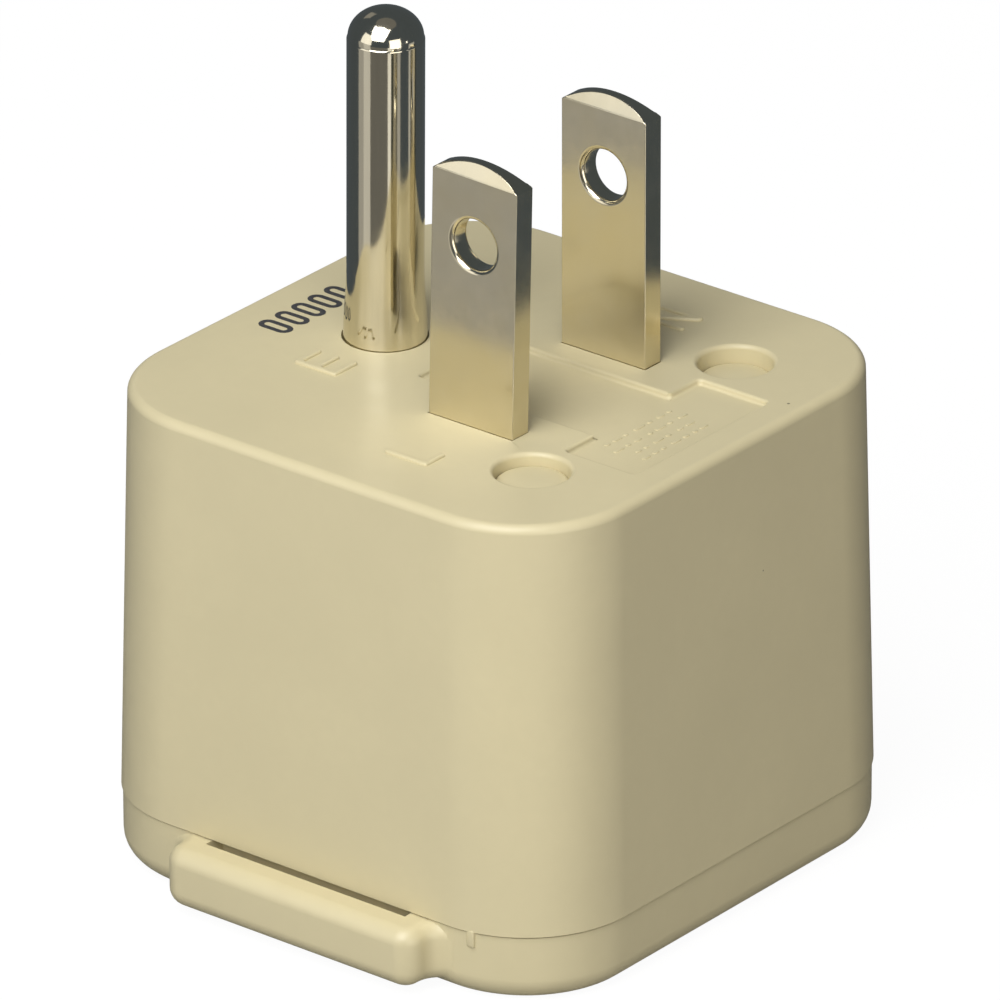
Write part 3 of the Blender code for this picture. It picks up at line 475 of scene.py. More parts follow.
def add_specks(material, place):
    """How dark each place is made by the few specks in the plastic, each about 0.15 mm across."""
    total = 0.0
    for spot, radius in SPECKS:
        away = add_node(material, "VectorMath", {0: place, 1: spot}, "Value", operation="DISTANCE")
        near = add_node(material, "MapRange", {"Value": away, "From Min": radius * 0.6,
                                               "From Max": radius, "To Min": 0.75, "To Max": 0.0})
        total = add_node(material, "Math", {0: total, 1: near}, operation="MAXIMUM")
    return total


def moulded_nylon(name, rgba):
    """Moulded glass-filled nylon: pale and dull, with faint flow marks and a coarse grain."""
    material, shader, place = start_material(name)
    tint = add_stain(material, place, 4 * mm, shade(rgba, 0.93), rgba, 0.0, 1.0, 3.0)
    grain = add_relief(material, place, 0.2 * mm, 0.01 * mm, 0.5, 2.0)
    feed(material, shader, {"Base Color": tint, "Roughness": 0.55, "IOR": NYLON_IOR, "Normal": grain})
    return material


def stamped_nickel(name, rgba):
    """Nickel plate on stamped strip: bright but misty and faintly waved, with a warm yellow painted into
    its colour in slow patches as a painted reflection of the warm beige round it.
    """
    material, shader, place = start_material(name)
    tint = add_stain(material, place, 1.6 * mm, shade(rgba, 0.94), rgba, 0.0, 1.0, 4.0, 0.6)
    # Painted reflection: a warm yellow mixed into the plating's colour in slow random patches, for the
    # warm beige plastic and cards that the blades mirror
    tint = add_stain(material, place, 5 * mm, tint, linear("#D6C89C"), 0.05, 0.35, 3.0, 0.6)
    mist = add_pattern(material, place, 1.6 * mm, 0.14, 0.2, 4.0, 0.6)
    wave = add_relief(material, place, 2.5 * mm, 0.02 * mm, 0.35)
    orange_peel = add_relief(material, place, 0.25 * mm, 0.0015 * mm, 0.6, 2.0, under=wave)
    feed(material, shader, {"Base Color": tint, "Metallic": 1.0, "Roughness": mist, "Normal": orange_peel})
    return material


def drawn_nickel(name, rgba):
    """Nickel plate on drawn and turned rod: mirror-bright, with fine lines along the rod."""
    material, shader, place = start_material(name)
    along = add_node(material, "Mapping", {"Vector": place, "Scale": (1.0, 1.0, 0.04)})
    tint = add_stain(material, along, 0.35 * mm, shade(rgba, 0.93), rgba, 0.0, 1.0, 3.0, 0.6)
    mist = add_pattern(material, place, 1.2 * mm, 0.07, 0.12, 3.0)
    lines = add_relief(material, along, 0.35 * mm, 0.003 * mm, 0.6, 3.0, 0.6)
    feed(material, shader, {"Base Color": tint, "Metallic": 1.0, "Roughness": mist, "Normal": lines})
    return material


def rolled_brass(name, rgba):
    """Rolled and folded brass strip: a satin yellow with faint roll lines and duller patches."""
    material, shader, place = start_material(name)
    tint = add_stain(material, place, 3 * mm, shade(rgba, 0.82), rgba, 0.0, 1.0, 4.0, 0.6)
    tarnish = add_pattern(material, place, 3 * mm, 0.26, 0.4, 4.0, 0.6)
    along = add_node(material, "Mapping", {"Vector": place, "Scale": (0.05, 1.0, 1.0)})
    lines = add_relief(material, along, 0.15 * mm, 0.003 * mm, 0.5, 2.0)
    feed(material, shader, {"Base Color": tint, "Metallic": 1.0, "Roughness": tarnish, "Normal": lines})
    return material


def plated_steel(name, rgba):
    """Zinc-plated steel screws: cool grey, satin, with a fine cloudy plating."""
    material, shader, place = start_material(name)
    tint = add_stain(material, place, 0.8 * mm, shade(rgba, 0.85), rgba, 0.0, 1.0, 3.0)
    cloud = add_pattern(material, place, 0.8 * mm, 0.24, 0.38, 3.0)
    feed(material, shader, {"Base Color": tint, "Metallic": 1.0, "Roughness": cloud})
    return material


def printed_ink(name, rgba):
    """Solvent ink on ABS: nearly black, thin at its edges, with a faint sheen."""
    material, shader, place = start_material(name)
    tint = add_stain(material, place, 0.25 * mm, rgba, linear("#5C5A55"), 0.0, 0.6, 3.0, 0.6)
    feed(material, shader, {"Base Color": tint, "Roughness": 0.45})
    return material


MATERIALS = {}


def get_material(key):
    """Make a material the first time that it is asked for."""
    if key not in MATERIALS:
        colours = bpy.context.scene.adapter_colours
        makers = {
            "shell": (moulded_abs, "moulded_abs_beige", colours.shell),
            "inner": (moulded_nylon, "moulded_nylon_pale", colours.inner),
            "blade": (stamped_nickel, "nickel_plate_stamped", colours.nickel),
            "pin": (drawn_nickel, "nickel_plate_drawn", colours.nickel),
            "brass": (rolled_brass, "brass_strip_rolled", colours.brass),
            "zinc": (plated_steel, "steel_zinc_plated", colours.zinc),
            "ink": (printed_ink, "ink_printed", colours.ink),
        }
        maker, name, rgba = makers[key]
        MATERIALS[key] = maker(name, tuple(rgba))
    return MATERIALS[key]


# Shapes that the body and the cover share


def half_width_at(height):
    """Half the body's outer width at a height above the socket face."""
    half_top = bpy.context.scene.adapter_sizes.body_width / 2
    taper = (BODY_HALF - half_top) / (PLUG_FACE - PARTING)
    return half_top + (PLUG_FACE - height) * taper


def add_block(name, half_low, half_high, low, high, corner, steps=CORNER_STEPS):
    """A square block about the body's axis, tapered, with rounded upright corners."""
    block = add_box(name, (-half_low, BODY_Y - half_low, low), (half_low, BODY_Y + half_low, high))
    if half_low != half_high:
        pick(block, "FACE", facing(2, high))
        share = half_high / half_low
        bpy.ops.transform.resize(value=(share, share, 1), center_override=(0, BODY_Y, high))
    round_edges(block, nearly_upright, corner, steps)
    return block


def body_box(low, high):
    """Corners given about the body's axis, moved to the frame."""
    return (low[0], low[1] + BODY_Y, low[2]), (high[0], high[1] + BODY_Y, high[2])


def sides():
    return (("line", -1), ("neutral", 1))


def across(side, near, far):
    return tuple(sorted((side * near, side * far)))


def rounded_rim(radius, top, rounding, way):
    """Rings of a quarter round up to a height, opening outwards for way 1 and inwards for -1."""
    rings = []
    for step in range(ROUNDING_STEPS + 1):
        angle = math.pi / 2 * step / ROUNDING_STEPS
        rings.append((radius + way * rounding * (1 - math.cos(angle)),
                      top - rounding * (1 - math.sin(angle))))
    return rings


# The blades and the pin sit a little off the body's middle
PLUG_Y = BODY_Y - 0.2 * mm
PIN_X = EARTH_X - 0.27 * mm
PIN_Y = BODY_Y - 0.32 * mm

# The shell and the cover: rounding, spigot, catches and screw bosses
PLUG_HOLE_ROUNDING = 0.3 * mm
MOULD_EDGE = 0.12 * mm
SNAP_TOP = 9.95 * mm
SPIGOT_TOP = 6.55 * mm
SPIGOT_WALL = 1.0 * mm
COVER_PLATE = 2.4 * mm
SNAP_HALF = 3.5 * mm
SNAP_CATCH = 0.5 * mm
SNAP_CATCH_LOW = 7.95 * mm
SNAP_CATCH_HEIGHT = 1.0 * mm
SCREW_PITCH = 19.5 * mm
SCREW_SEAT_TOP = 27.65 * mm
SCREW_SEAT_LOW = 26.25 * mm
SCREW_BOSS = 6.6 * mm
SHANK_HOLE = 3.0 * mm

# The T-shaped recess: its stem between the blades and its wide panel
STEM_START = BLADE_X - 6.9 * mm
STEM_END = BLADE_X + 6.5 * mm
PANEL_END = BLADE_X + 11.7 * mm
STEM_HALF = 3.6 * mm
PANEL_HALF = 6.4 * mm
RECESS_CORNER = 0.3 * mm
RECESS_FLOOR_FILLET = 0.2 * mm
RECESS_RIM = 0.22 * mm


class ADAPTER_OT_housing(bpy.types.Operator):
    """Build the moulded shell: a drafted box, open below, with the plug face and its recesses"""
    bl_idname = "adapter.housing"
    bl_label = "Moulded shell"

    def execute(self, context):
        sizes = context.scene.adapter_sizes
        half_top = sizes.body_width / 2
        shell = add_block("moulded_shell", BODY_HALF, half_top, PARTING, PLUG_FACE, sizes.body_corner)
        round_edges(shell, level_at(PLUG_FACE), sizes.top_fillet, EDGE_STEPS)
        pick(shell, "FACE", lambda face: True)
        bpy.ops.mesh.bisect(plane_co=(0, BODY_Y, 0), plane_no=(0, 1, 0))
        deselect()
        self.sink_recess(shell, sizes)
        inner_low = half_width_at(PARTING - PAST) - sizes.body_wall
        inner_high = half_width_at(PLUG_UNDERSIDE) - sizes.body_wall
        carve(shell, add_block("cavity", inner_low, inner_high, PARTING - PAST, PLUG_UNDERSIDE,
                               sizes.body_corner - sizes.body_wall, HIDDEN_STEPS))
        for _, side in sides():
            self.open_pole(shell, sizes, side)
        carve(shell, add_drum("earth_hole", sizes.collar_diameter + 2 * PIN_GAP,
                              (PIN_X, PIN_Y, PLUG_UNDERSIDE - PAST),
                              (PIN_X, PIN_Y, PLUG_FACE + PAST)))
        self.cut_snap_pockets(shell)
        soften(shell, MOULD_EDGE)
        finish_piece(shell, get_material("shell"), ("housing",))
        return {"FINISHED"}

    def open_pole(self, shell, sizes, side):
        """The screw boss with its holes, and the blade's slot, on one side."""
        y = BODY_Y + side * SCREW_PITCH / 2
        for tool, width, low, high in (
                (join, SCREW_BOSS, SCREW_SEAT_LOW, PLUG_FACE - PAST),
                (carve, SHANK_HOLE, SCREW_SEAT_LOW - PAST, SCREW_SEAT_TOP + PAST)):
            tool(shell, add_drum("bore", width, (SCREW_X, y, low), (SCREW_X, y, high)))
        rings = [(sizes.plug_hole / 2, SCREW_SEAT_TOP)]
        rings += rounded_rim(sizes.plug_hole / 2, PLUG_FACE, PLUG_HOLE_ROUNDING, 1)
        rings.append((rings[-1][0], PLUG_FACE + PAST))
        carve(shell, turn("plug_hole", rings, SCREW_X, y))
        middle = sizes.blade_pitch / 2
        reach = sizes.blade_thickness / 2 + BLADE_GAP
        y_low, y_high = across(side, middle - reach, middle + reach)
        half = sizes.blade_width / 2 + BLADE_GAP
        carve(shell, add_box("slot", (BLADE_X - half, PLUG_Y + y_low, PLUG_UNDERSIDE - PAST),
                             (BLADE_X + half, PLUG_Y + y_high, PLUG_FACE + PAST)))

    def sink_recess(self, shell, sizes):
        """The T-shaped recess: a stem between the blades and a wide panel past them."""
        floor = PLUG_FACE - sizes.recess_depth
        tool = add_box("recess", *body_box((STEM_START, -STEM_HALF, floor),
                                           (STEM_END, STEM_HALF, PLUG_FACE + PAST)))
        push_faces(tool, facing(0, STEM_END), (PANEL_END - STEM_END, 0, 0))
        for side in (-1, 1):
            wall = BODY_Y + side * STEM_HALF
            inside = within((STEM_END, wall, floor), (PANEL_END, wall, PLUG_FACE + PAST))
            push_faces(tool, inside, (0, side * (PANEL_HALF - STEM_HALF), 0))
        round_edges(tool, upright, RECESS_CORNER, 5)
        round_edges(tool, level_at(floor), RECESS_FLOOR_FILLET, 4)
        carve(shell, tool)
        rim = within((STEM_START - PAST, BODY_Y - PANEL_HALF - PAST / 2, PLUG_FACE),
                     (PANEL_END + PAST, BODY_Y + PANEL_HALF + PAST / 2, PLUG_FACE))

        def recess_rim(edge):
            middle = (edge.verts[0].co + edge.verts[1].co) / 2
            off = abs(middle.y - BODY_Y)
            by_stem = STEM_START - TOUCH < middle.x < PANEL_END + TOUCH
            return (rim(edge) and by_stem and off < PANEL_HALF + TOUCH
                    and not (off > STEM_HALF + TOUCH and middle.x < STEM_END - TOUCH))
        round_edges(shell, recess_rim, RECESS_RIM, 4)

    def cut_snap_pockets(self, shell):
        """Four pockets inside the walls, for the cover's catches."""
        half = half_width_at(SNAP_TOP) - bpy.context.scene.adapter_sizes.body_wall - FIT
        low = SNAP_CATCH_LOW - SEAT
        high = low + SNAP_CATCH_HEIGHT + 2 * SEAT
        pocket = add_box("pocket", *body_box((half - SPIGOT_WALL, -SNAP_HALF - SEAT, low),
                                             (half + SNAP_CATCH + SEAT, SNAP_HALF + SEAT, high)))
        for quarter in range(1, 4):
            carve(shell, duplicate(pocket, "pocket_copy", quarter_turns=quarter))
        carve(shell, pocket)


# The lip and its slot
LIP_TOP_FILLET = 1.0 * mm
LIP_BOTTOM_FILLET = 1.2 * mm
LIP_RAISE = 0.5 * mm
LIP_OFFSET = 0.375 * mm
LIP_CORNER = 1.3 * mm
LIP_BLEND = 1.2 * mm
LIP_STEPS = 10
LIP_END_WALL = 1.9 * mm
# The slot runs in under the shell, so that only shade shows in it
SLOT_UNDERCUT = 0.95 * mm
SLOT_UNDERCUT_DEPTH = 1.8 * mm

# Openings for pins in the socket face, about the body's axis: the poles' row and each plug's sizes
SOCKET_ROW = 11.2 * mm
POLE_SLOTS = (
    ("rectangular", 22.2 * mm / 2, 4.4 * mm, 6.7 * mm, 0),
    ("flat", 12.7 * mm / 2, 6.9 * mm, 2.0 * mm, 0),
    ("slanted", 13.7 * mm / 2, 6.9 * mm, 2.0 * mm, 30),
)
ROUND_PITCH = 19.0 * mm
ROUND_HOLE = 5.0 * mm
EARTH_SLOT_MIDDLE = SOCKET_ROW - 22.2 * mm
EARTH_SLOT = (8.3 * mm, 4.5 * mm)
EARTH_HOLE_X = SOCKET_ROW - 11.9 * mm
EARTH_HOLE = 5.3 * mm
EARTH_THIN_SLOT = 2.1 * mm


def arc(x, y, radius, start, end, steps):
    """Points along an arc, with angles in degrees."""
    points = []
    for step in range(steps + 1):
        angle = math.radians(start + (end - start) * step / steps)
        points.append((x + radius * math.cos(angle), y + radius * math.sin(angle)))
    return points


class ADAPTER_OT_cover(bpy.types.Operator):
    """Build the socket cover: its rim, its lip with the long slot, its openings and its catches"""
    bl_idname = "adapter.cover"
    bl_label = "Socket cover"

    def execute(self, context):
        sizes = context.scene.adapter_sizes
        half = BODY_HALF - sizes.cover_inset
        corner = sizes.body_corner - sizes.cover_inset
        top = PARTING - PARTING_GAP
        cover = add_block("moulded_cover", half, half, 0, top, corner)
        round_edges(cover, level_at(0), sizes.cover_fillet, EDGE_STEPS)
        join(cover, self.make_lip(sizes, half, top))
        self.add_spigot(cover, sizes)
        slot = sizes.lip_width / 2 - LIP_END_WALL
        carve(cover, add_box("slot", *body_box(
            (LIP_OFFSET - slot, -half - sizes.slot_width, -PAST),
            (LIP_OFFSET + slot, -half + sizes.cover_inset, top + PAST))))
        carve(cover, add_box("undercut", *body_box(
            (LIP_OFFSET - slot, -half - sizes.slot_width / 2, top - SLOT_UNDERCUT_DEPTH),
            (LIP_OFFSET + slot, -half + SLOT_UNDERCUT, top + PAST))))
        self.open_socket(cover)
        soften(cover, MOULD_EDGE)
        finish_piece(cover, get_material("shell"), ("socket_cover",))
        return {"FINISHED"}

    def make_lip(self, sizes, half, top):
        """The lip in plan: rounded outer corners, hollow blends, and its back inside the rim."""
        wall = BODY_Y - half
        outer = wall - sizes.lip_reach
        start = LIP_OFFSET - sizes.lip_width / 2
        end = LIP_OFFSET + sizes.lip_width / 2
        points = [(start - LIP_BLEND, wall + LIP_TOP_FILLET)]
        points += arc(start - LIP_BLEND, wall - LIP_BLEND, LIP_BLEND, 90, 0, LIP_STEPS)
        points += arc(start + LIP_CORNER, outer + LIP_CORNER, LIP_CORNER, 180, 270, LIP_STEPS)
        points += arc(end - LIP_CORNER, outer + LIP_CORNER, LIP_CORNER, 270, 360, LIP_STEPS)
        points += arc(end + LIP_BLEND, wall - LIP_BLEND, LIP_BLEND, 180, 90, LIP_STEPS)
        points += [(end + LIP_BLEND, wall + LIP_TOP_FILLET)]
        lip = trace("lip", points, LIP_RAISE, top)
        for height, fillet in ((top, LIP_TOP_FILLET), (LIP_RAISE, LIP_BOTTOM_FILLET)):
            def outer_rim(edge, height=height):
                return (level_at(height)(edge)
                        and min(vert.co.y for vert in edge.verts) < wall + LIP_TOP_FILLET / 2)
            round_edges(lip, outer_rim, fillet, EDGE_STEPS)
        return lip

    def add_spigot(self, cover, sizes):
        """The spigot that enters the shell, with four springy tongues and their catches."""
        half = half_width_at(SNAP_TOP) - sizes.body_wall - FIT
        corner = sizes.body_corner - sizes.body_wall
        join(cover, add_block("spigot", half, half, COVER_PLATE, SPIGOT_TOP, corner,
                              HIDDEN_STEPS))
        tongue = add_box("tongue", *body_box((half - SPIGOT_WALL - FIT, -SNAP_HALF, COVER_PLATE),
                                             (half, SNAP_HALF, SNAP_TOP)))
        catch_top = SNAP_CATCH_LOW + SNAP_CATCH_HEIGHT
        join(tongue, add_box("catch", *body_box(
            (half - SPIGOT_WALL / 2, -SNAP_HALF + FIT, SNAP_CATCH_LOW),
            (half + SNAP_CATCH, SNAP_HALF - FIT, catch_top))))
        for quarter in range(1, 4):
            join(cover, duplicate(tongue, "tongue_copy", quarter_turns=quarter))
        join(cover, tongue)
        inner = half - SPIGOT_WALL
        carve(cover, add_block("inside", inner, inner, COVER_PLATE, SNAP_TOP + PAST,
                               corner - SPIGOT_WALL, HIDDEN_STEPS))

    def open_socket(self, cover):
        """Cut the openings for flat, slanted, round and rectangular pins."""
        low, high = -PAST, COVER_PLATE + PAST
        for _, side in sides():
            for _, out, long, wide, angle in POLE_SLOTS:
                tool = add_box("slot", *body_box(
                    (SOCKET_ROW - long / 2, side * out - wide / 2, low),
                    (SOCKET_ROW + long / 2, side * out + wide / 2, high)))
                if angle:
                    activate(tool)
                    bpy.ops.transform.rotate(value=math.radians(side * angle), orient_axis="Z",
                                             center_override=(SOCKET_ROW, BODY_Y + side * out, 0))
                    tool = settle("slanted_slot")
                carve(cover, tool)
            y = BODY_Y + side * ROUND_PITCH / 2
            carve(cover, add_drum("hole", ROUND_HOLE, (SOCKET_ROW, y, low), (SOCKET_ROW, y, high)))
        carve(cover, add_box("slot", *body_box(
            (EARTH_SLOT_MIDDLE - EARTH_SLOT[0] / 2, -EARTH_SLOT[1] / 2, low),
            (EARTH_SLOT_MIDDLE + EARTH_SLOT[0] / 2, EARTH_SLOT[1] / 2, high))))
        carve(cover, add_box("slot", *body_box((EARTH_SLOT_MIDDLE, -EARTH_THIN_SLOT / 2, low),
                                               (EARTH_HOLE_X, EARTH_THIN_SLOT / 2, high))))
        carve(cover, add_drum("hole", EARTH_HOLE, (EARTH_HOLE_X, BODY_Y, low),
                              (EARTH_HOLE_X, BODY_Y, high)))


# The blades: their tip, their edges, their holes and the shoulder at their foot
BLADE_CROWN = 0.95 * mm
BLADE_CHAMFER_HEIGHT = 1.05 * mm
BLADE_CHAMFER_DEPTH = 0.45 * mm
BLADE_EDGE = 0.17 * mm
BLADE_SOFT_ANGLE = math.radians(14)
BLADE_HOLE = 3.2 * mm
BLADE_HOLE_ROUNDING = 0.32 * mm
BLADE_HOLE_Z = PLUG_FACE + 11.8 * mm
SHOULDER_STEP = 0.425 * mm
SHOULDER_HEIGHT = 1.5 * mm
RIVET_HOLE = 1.6 * mm
RIVET_OUT = 1.7 * mm
RIVET_Z = BLADE_ROOT + 1.75 * mm
# The line blade and the earth pin stand a little out of true in their holes
BLADE_LEAN = math.radians(-1.32)
PIN_LEAN = math.radians(-0.5)
LEAN_HEIGHT = (PLUG_FACE + PLUG_UNDERSIDE) / 2


class ADAPTER_OT_blades(bpy.types.Operator):
    """Build a stamped blade with its crowned, chamfered tip and coined hole, and copy it"""
    bl_idname = "adapter.blades"
    bl_label = "Flat blades"

    def execute(self, context):
        sizes = context.scene.adapter_sizes
        half = sizes.blade_width / 2
        thin = sizes.blade_thickness / 2
        blade = add_box("line_blade_plated", (BLADE_X - half, BODY_Y - thin, BLADE_ROOT),
                        (BLADE_X + half, BODY_Y + thin, BLADE_TIP))
        self.add_shoulder(blade, half, thin)
        self.crown_tip(blade, half)
        for side in (-1, 1):
            self.chamfer_tip(blade, thin, side)
        for x, z, width in ((BLADE_X, BLADE_HOLE_Z, BLADE_HOLE),
                            (BLADE_X - RIVET_OUT, RIVET_Z, RIVET_HOLE),
                            (BLADE_X + RIVET_OUT, RIVET_Z, RIVET_HOLE)):
            carve(blade, add_drum("hole", width, (x, BODY_Y - 3 * thin, z), (x, BODY_Y + 3 * thin, z)))
        round_edges(blade, self.hole_rim, BLADE_HOLE_ROUNDING, 5)
        soften(blade, BLADE_EDGE, 3, BLADE_SOFT_ANGLE)
        move = sizes.blade_pitch / 2
        off = PLUG_Y - BODY_Y
        other = duplicate(blade, "neutral_blade_plated", (0, off + move, 0))
        activate(blade)
        bpy.ops.transform.rotate(value=BLADE_LEAN, orient_axis="Y",
                                 center_override=(BLADE_X, BODY_Y, LEAN_HEIGHT))
        bpy.ops.transform.translate(value=(0, off - move, 0))
        blade = settle("line_blade_plated")
        finish_piece(blade, get_material("blade"), ("line_blade",))
        finish_piece(other, get_material("blade"), ("neutral_blade",))
        return {"FINISHED"}

    def hole_rim(self, edge):
        """Edges of the big hole, on either face of the blade."""
        return all(same(math.hypot(vert.co.x - BLADE_X, vert.co.z - BLADE_HOLE_Z), BLADE_HOLE / 2)
                   for vert in edge.verts) and same(edge.verts[0].co.y, edge.verts[1].co.y)

    def add_shoulder(self, blade, half, thin):
        """The wider shoulder that stops the blade under the plug face."""
        top = PLUG_UNDERSIDE - SEAT
        reach = half + SHOULDER_STEP
        join(blade, add_box("shoulder", (BLADE_X - reach, BODY_Y - thin, top - SHOULDER_HEIGHT),
                            (BLADE_X + reach, BODY_Y + thin, top)))

    def crown_tip(self, blade, half):
        """Cut the tip to a low arch."""
        radius = (half * half + BLADE_CROWN * BLADE_CROWN) / (2 * BLADE_CROWN)
        tool = add_box("crown", (BLADE_X - 2 * half, BODY_Y - half, BLADE_TIP - 2 * BLADE_CROWN),
                       (BLADE_X + 2 * half, BODY_Y + half, BLADE_TIP + half))
        centre = BLADE_TIP - radius
        carve(tool, add_drum("arch", 2 * radius, (BLADE_X, BODY_Y - 2 * half, centre),
                             (BLADE_X, BODY_Y + 2 * half, centre), 2 * ROUND_STEPS))
        carve(blade, tool)

    def chamfer_tip(self, blade, thin, side):
        """Slope one flat side in towards the tip."""
        slope = math.atan2(BLADE_CHAMFER_DEPTH, BLADE_CHAMFER_HEIGHT)
        pick(blade, "FACE", lambda face: True)
        bpy.ops.mesh.bisect(
            plane_co=(BLADE_X, BODY_Y + side * thin, BLADE_TIP - BLADE_CHAMFER_HEIGHT),
            plane_no=(0, side * math.cos(slope), math.sin(slope)),
            use_fill=True, clear_outer=True)
        deselect()


# The earth pin: radii and heights from its headed tail up to its dome
PIN_HEAD = 1.6 * mm
PIN_HEAD_HEIGHT = 0.35 * mm
PIN_TAIL = 1.1 * mm
PIN_NECK = 2.6 * mm
PIN_NECK_LOW = 24.6 * mm
PIN_FLANGE = 4.0 * mm
PIN_FLANGE_HEIGHT = 1.2 * mm
PIN_COLLAR_HEIGHT = 2.4 * mm
PIN_COLLAR_BLEND = 4.4 * mm
PIN_COLLAR_STEPS = 12
PIN_DOME = 1.85 * mm
PIN_DOME_STEPS = 28
# The crease under the dome: how far in and how high each of its rings lies
PIN_CREASE = ((0, -0.1 * mm), (0.02 * mm, -0.03 * mm), (0.06 * mm, 0.02 * mm))


class ADAPTER_OT_earth_pin(bpy.types.Operator):
    """Build the earth pin, from its headed tail up to its flattened dome"""
    bl_idname = "adapter.earth_pin"
    bl_label = "Earth pin"

    def execute(self, context):
        sizes = context.scene.adapter_sizes
        radius = sizes.pin_diameter / 2
        collar = sizes.collar_diameter / 2
        crease = PIN_HIGH.z - PIN_DOME
        collar_top = PLUG_FACE + PIN_COLLAR_HEIGHT
        flange_top = PLUG_UNDERSIDE - SEAT
        head_top = PIN_LOW.z + PIN_HEAD_HEIGHT
        flange_low = flange_top - PIN_FLANGE_HEIGHT
        rings = [(PIN_HEAD, PIN_LOW.z), (PIN_HEAD, head_top), (PIN_TAIL, head_top),
                 (PIN_TAIL, PIN_NECK_LOW), (PIN_NECK, PIN_NECK_LOW), (PIN_NECK, flange_low),
                 (PIN_FLANGE, flange_low), (PIN_FLANGE, flange_top), (collar, flange_top)]
        for step in range(PIN_COLLAR_STEPS + 1):
            share = (1 - math.cos(math.pi * step / PIN_COLLAR_STEPS)) / 2
            rings.append((collar + (radius - collar) * share,
                          collar_top + PIN_COLLAR_BLEND * (step / PIN_COLLAR_STEPS - 0.5)))
        rings += [(radius - inset, crease + rise) for inset, rise in PIN_CREASE]
        dome_radius, dome_low = rings[-1]
        for step in range(1, PIN_DOME_STEPS):
            angle = math.pi / 2 * step / PIN_DOME_STEPS
            rings.append((dome_radius * math.cos(angle),
                          dome_low + (PIN_HIGH.z - dome_low) * math.sin(angle)))
        pin = turn("earth_pin_plated", rings, EARTH_X, BODY_Y)
        pick(pin, "VERT", lambda vert: vert.co.z > flange_top - TOUCH and math.hypot(
            vert.co.x - EARTH_X, vert.co.y - BODY_Y) < collar + TOUCH)
        bpy.ops.transform.translate(value=(PIN_X - EARTH_X, PIN_Y - BODY_Y, 0))
        bpy.ops.transform.rotate(value=PIN_LEAN, orient_axis="Y",
                                 center_override=(PIN_X, PIN_Y, flange_top))
        deselect()
        finish_piece(pin, get_material("pin"), ("earth_pin",))
        return {"FINISHED"}


# The screw plugs
PLUG_FIT = 0.06 * mm
PLUG_ROUNDING = 0.3 * mm
PLUG_DOME = 0.15 * mm
PLUG_DOME_STEPS = 12
NEUTRAL_PLUG_DEEPER = 0.35 * mm


class ADAPTER_OT_screw_plugs(bpy.types.Operator):
    """Build the two screw plugs with their low domes, one pressed deeper than the other"""
    bl_idname = "adapter.screw_plugs"
    bl_label = "Screw plugs"

    def execute(self, context):
        sizes = context.scene.adapter_sizes
        for (pole, side), extra in zip(sides(), (0, NEUTRAL_PLUG_DEEPER)):
            plug = self.make_plug(sizes, pole, BODY_Y + side * SCREW_PITCH / 2, sizes.plug_depth + extra)
            finish_piece(plug, get_material("shell"), ("screw_plug_" + pole,))
        return {"FINISHED"}

    def make_plug(self, sizes, pole, y, depth):
        """A short plug with a rounded edge and a low dome."""
        radius = sizes.plug_hole / 2 - PLUG_FIT
        edge = PLUG_FACE - depth
        rings = [(radius, PLUG_BOX_LOW.z)] + rounded_rim(radius, edge, PLUG_ROUNDING, -1)
        for step in range(1, PLUG_DOME_STEPS):
            share = 1 - step / PLUG_DOME_STEPS
            rings.append(((radius - PLUG_ROUNDING) * share, edge + PLUG_DOME * (1 - share * share)))
        return turn("screw_plug_" + pole + "_moulded", rings, SCREW_X, y)


# Raised letters and where each one stands, about the middle of the plug face
LETTER_HEIGHT = 3.2 * mm
LETTER_WIDTH = 2.2 * mm
LETTERS = (
    ("E", BLADE_X - 12.3 * mm, -5.75 * mm),
    ("L", BLADE_X - 0.1 * mm, -12.2 * mm),
    ("N", BLADE_X - 0.1 * mm, 12.2 * mm),
)
LETTER_CORNER = 0.16 * mm
LETTER_RIM = 0.14 * mm
MARK_FOOT = 0.05 * mm

# Each row's place along the blades and its start, then the lengths of its dashes and gaps, all in mm
DASH_ROWS = (
    (7.5, -3.9, (0.45, 0.3, 0.8, 0.25, 0.35, 0.6, 1.0, 0.3, 0.4, 0.5, 0.7, 0.3, 0.4, 0.3)),
    (8.5, -4.3, (0.9, 0.25, 0.4, 0.4, 0.6, 0.7, 0.4, 0.3, 0.9, 0.3, 0.4, 0.6, 0.8, 0.3)),
    (9.5, -3.5, (0.5, 0.3, 0.4, 0.5, 0.9, 0.3, 0.4, 0.7, 0.5, 0.3, 0.8, 0.4)),
    (10.4, -4.0, (0.7, 0.3, 0.5, 0.3, 0.4, 0.6, 0.8, 0.3, 0.5, 0.4, 0.4, 0.3, 0.7, 0.3)),
)
DASH_WIDTH = 0.26 * mm
DASH_RAISE = 0.05 * mm
# The gate's nib, about the body's axis
NIB_LOW = (12.15 * mm, -18.21 * mm, 3.48 * mm)
NIB_HIGH = (12.71 * mm, -17.84 * mm, 4.6 * mm)
NIB_EDGE = 0.1 * mm


def letter_outline(letter, stroke):
    """A letter's outline in its own frame: x runs down the letter and y along the line."""
    top, foot = -LETTER_HEIGHT / 2, LETTER_HEIGHT / 2
    left, right = -LETTER_WIDTH / 2, LETTER_WIDTH / 2
    stem = left + stroke
    if letter == "L":
        return [(top, left), (top, stem), (foot - stroke, stem), (foot - stroke, right * 0.7),
                (foot, right * 0.7), (foot, left)]
    if letter == "E":
        half = stroke / 2
        return [(top, left), (top, right), (top + stroke, right), (top + stroke, stem), (-half, stem),
                (-half, right), (half, right), (half, stem), (foot - stroke, stem),
                (foot - stroke, right), (foot, right), (foot, left)]
    slant = 2.2 * stroke
    return [(top, left), (top, stem), (foot - slant, right - stroke), (top, right - stroke),
            (top, right), (foot, right), (foot, right - stroke), (top + slant, stem), (foot, stem),
            (foot, left)]


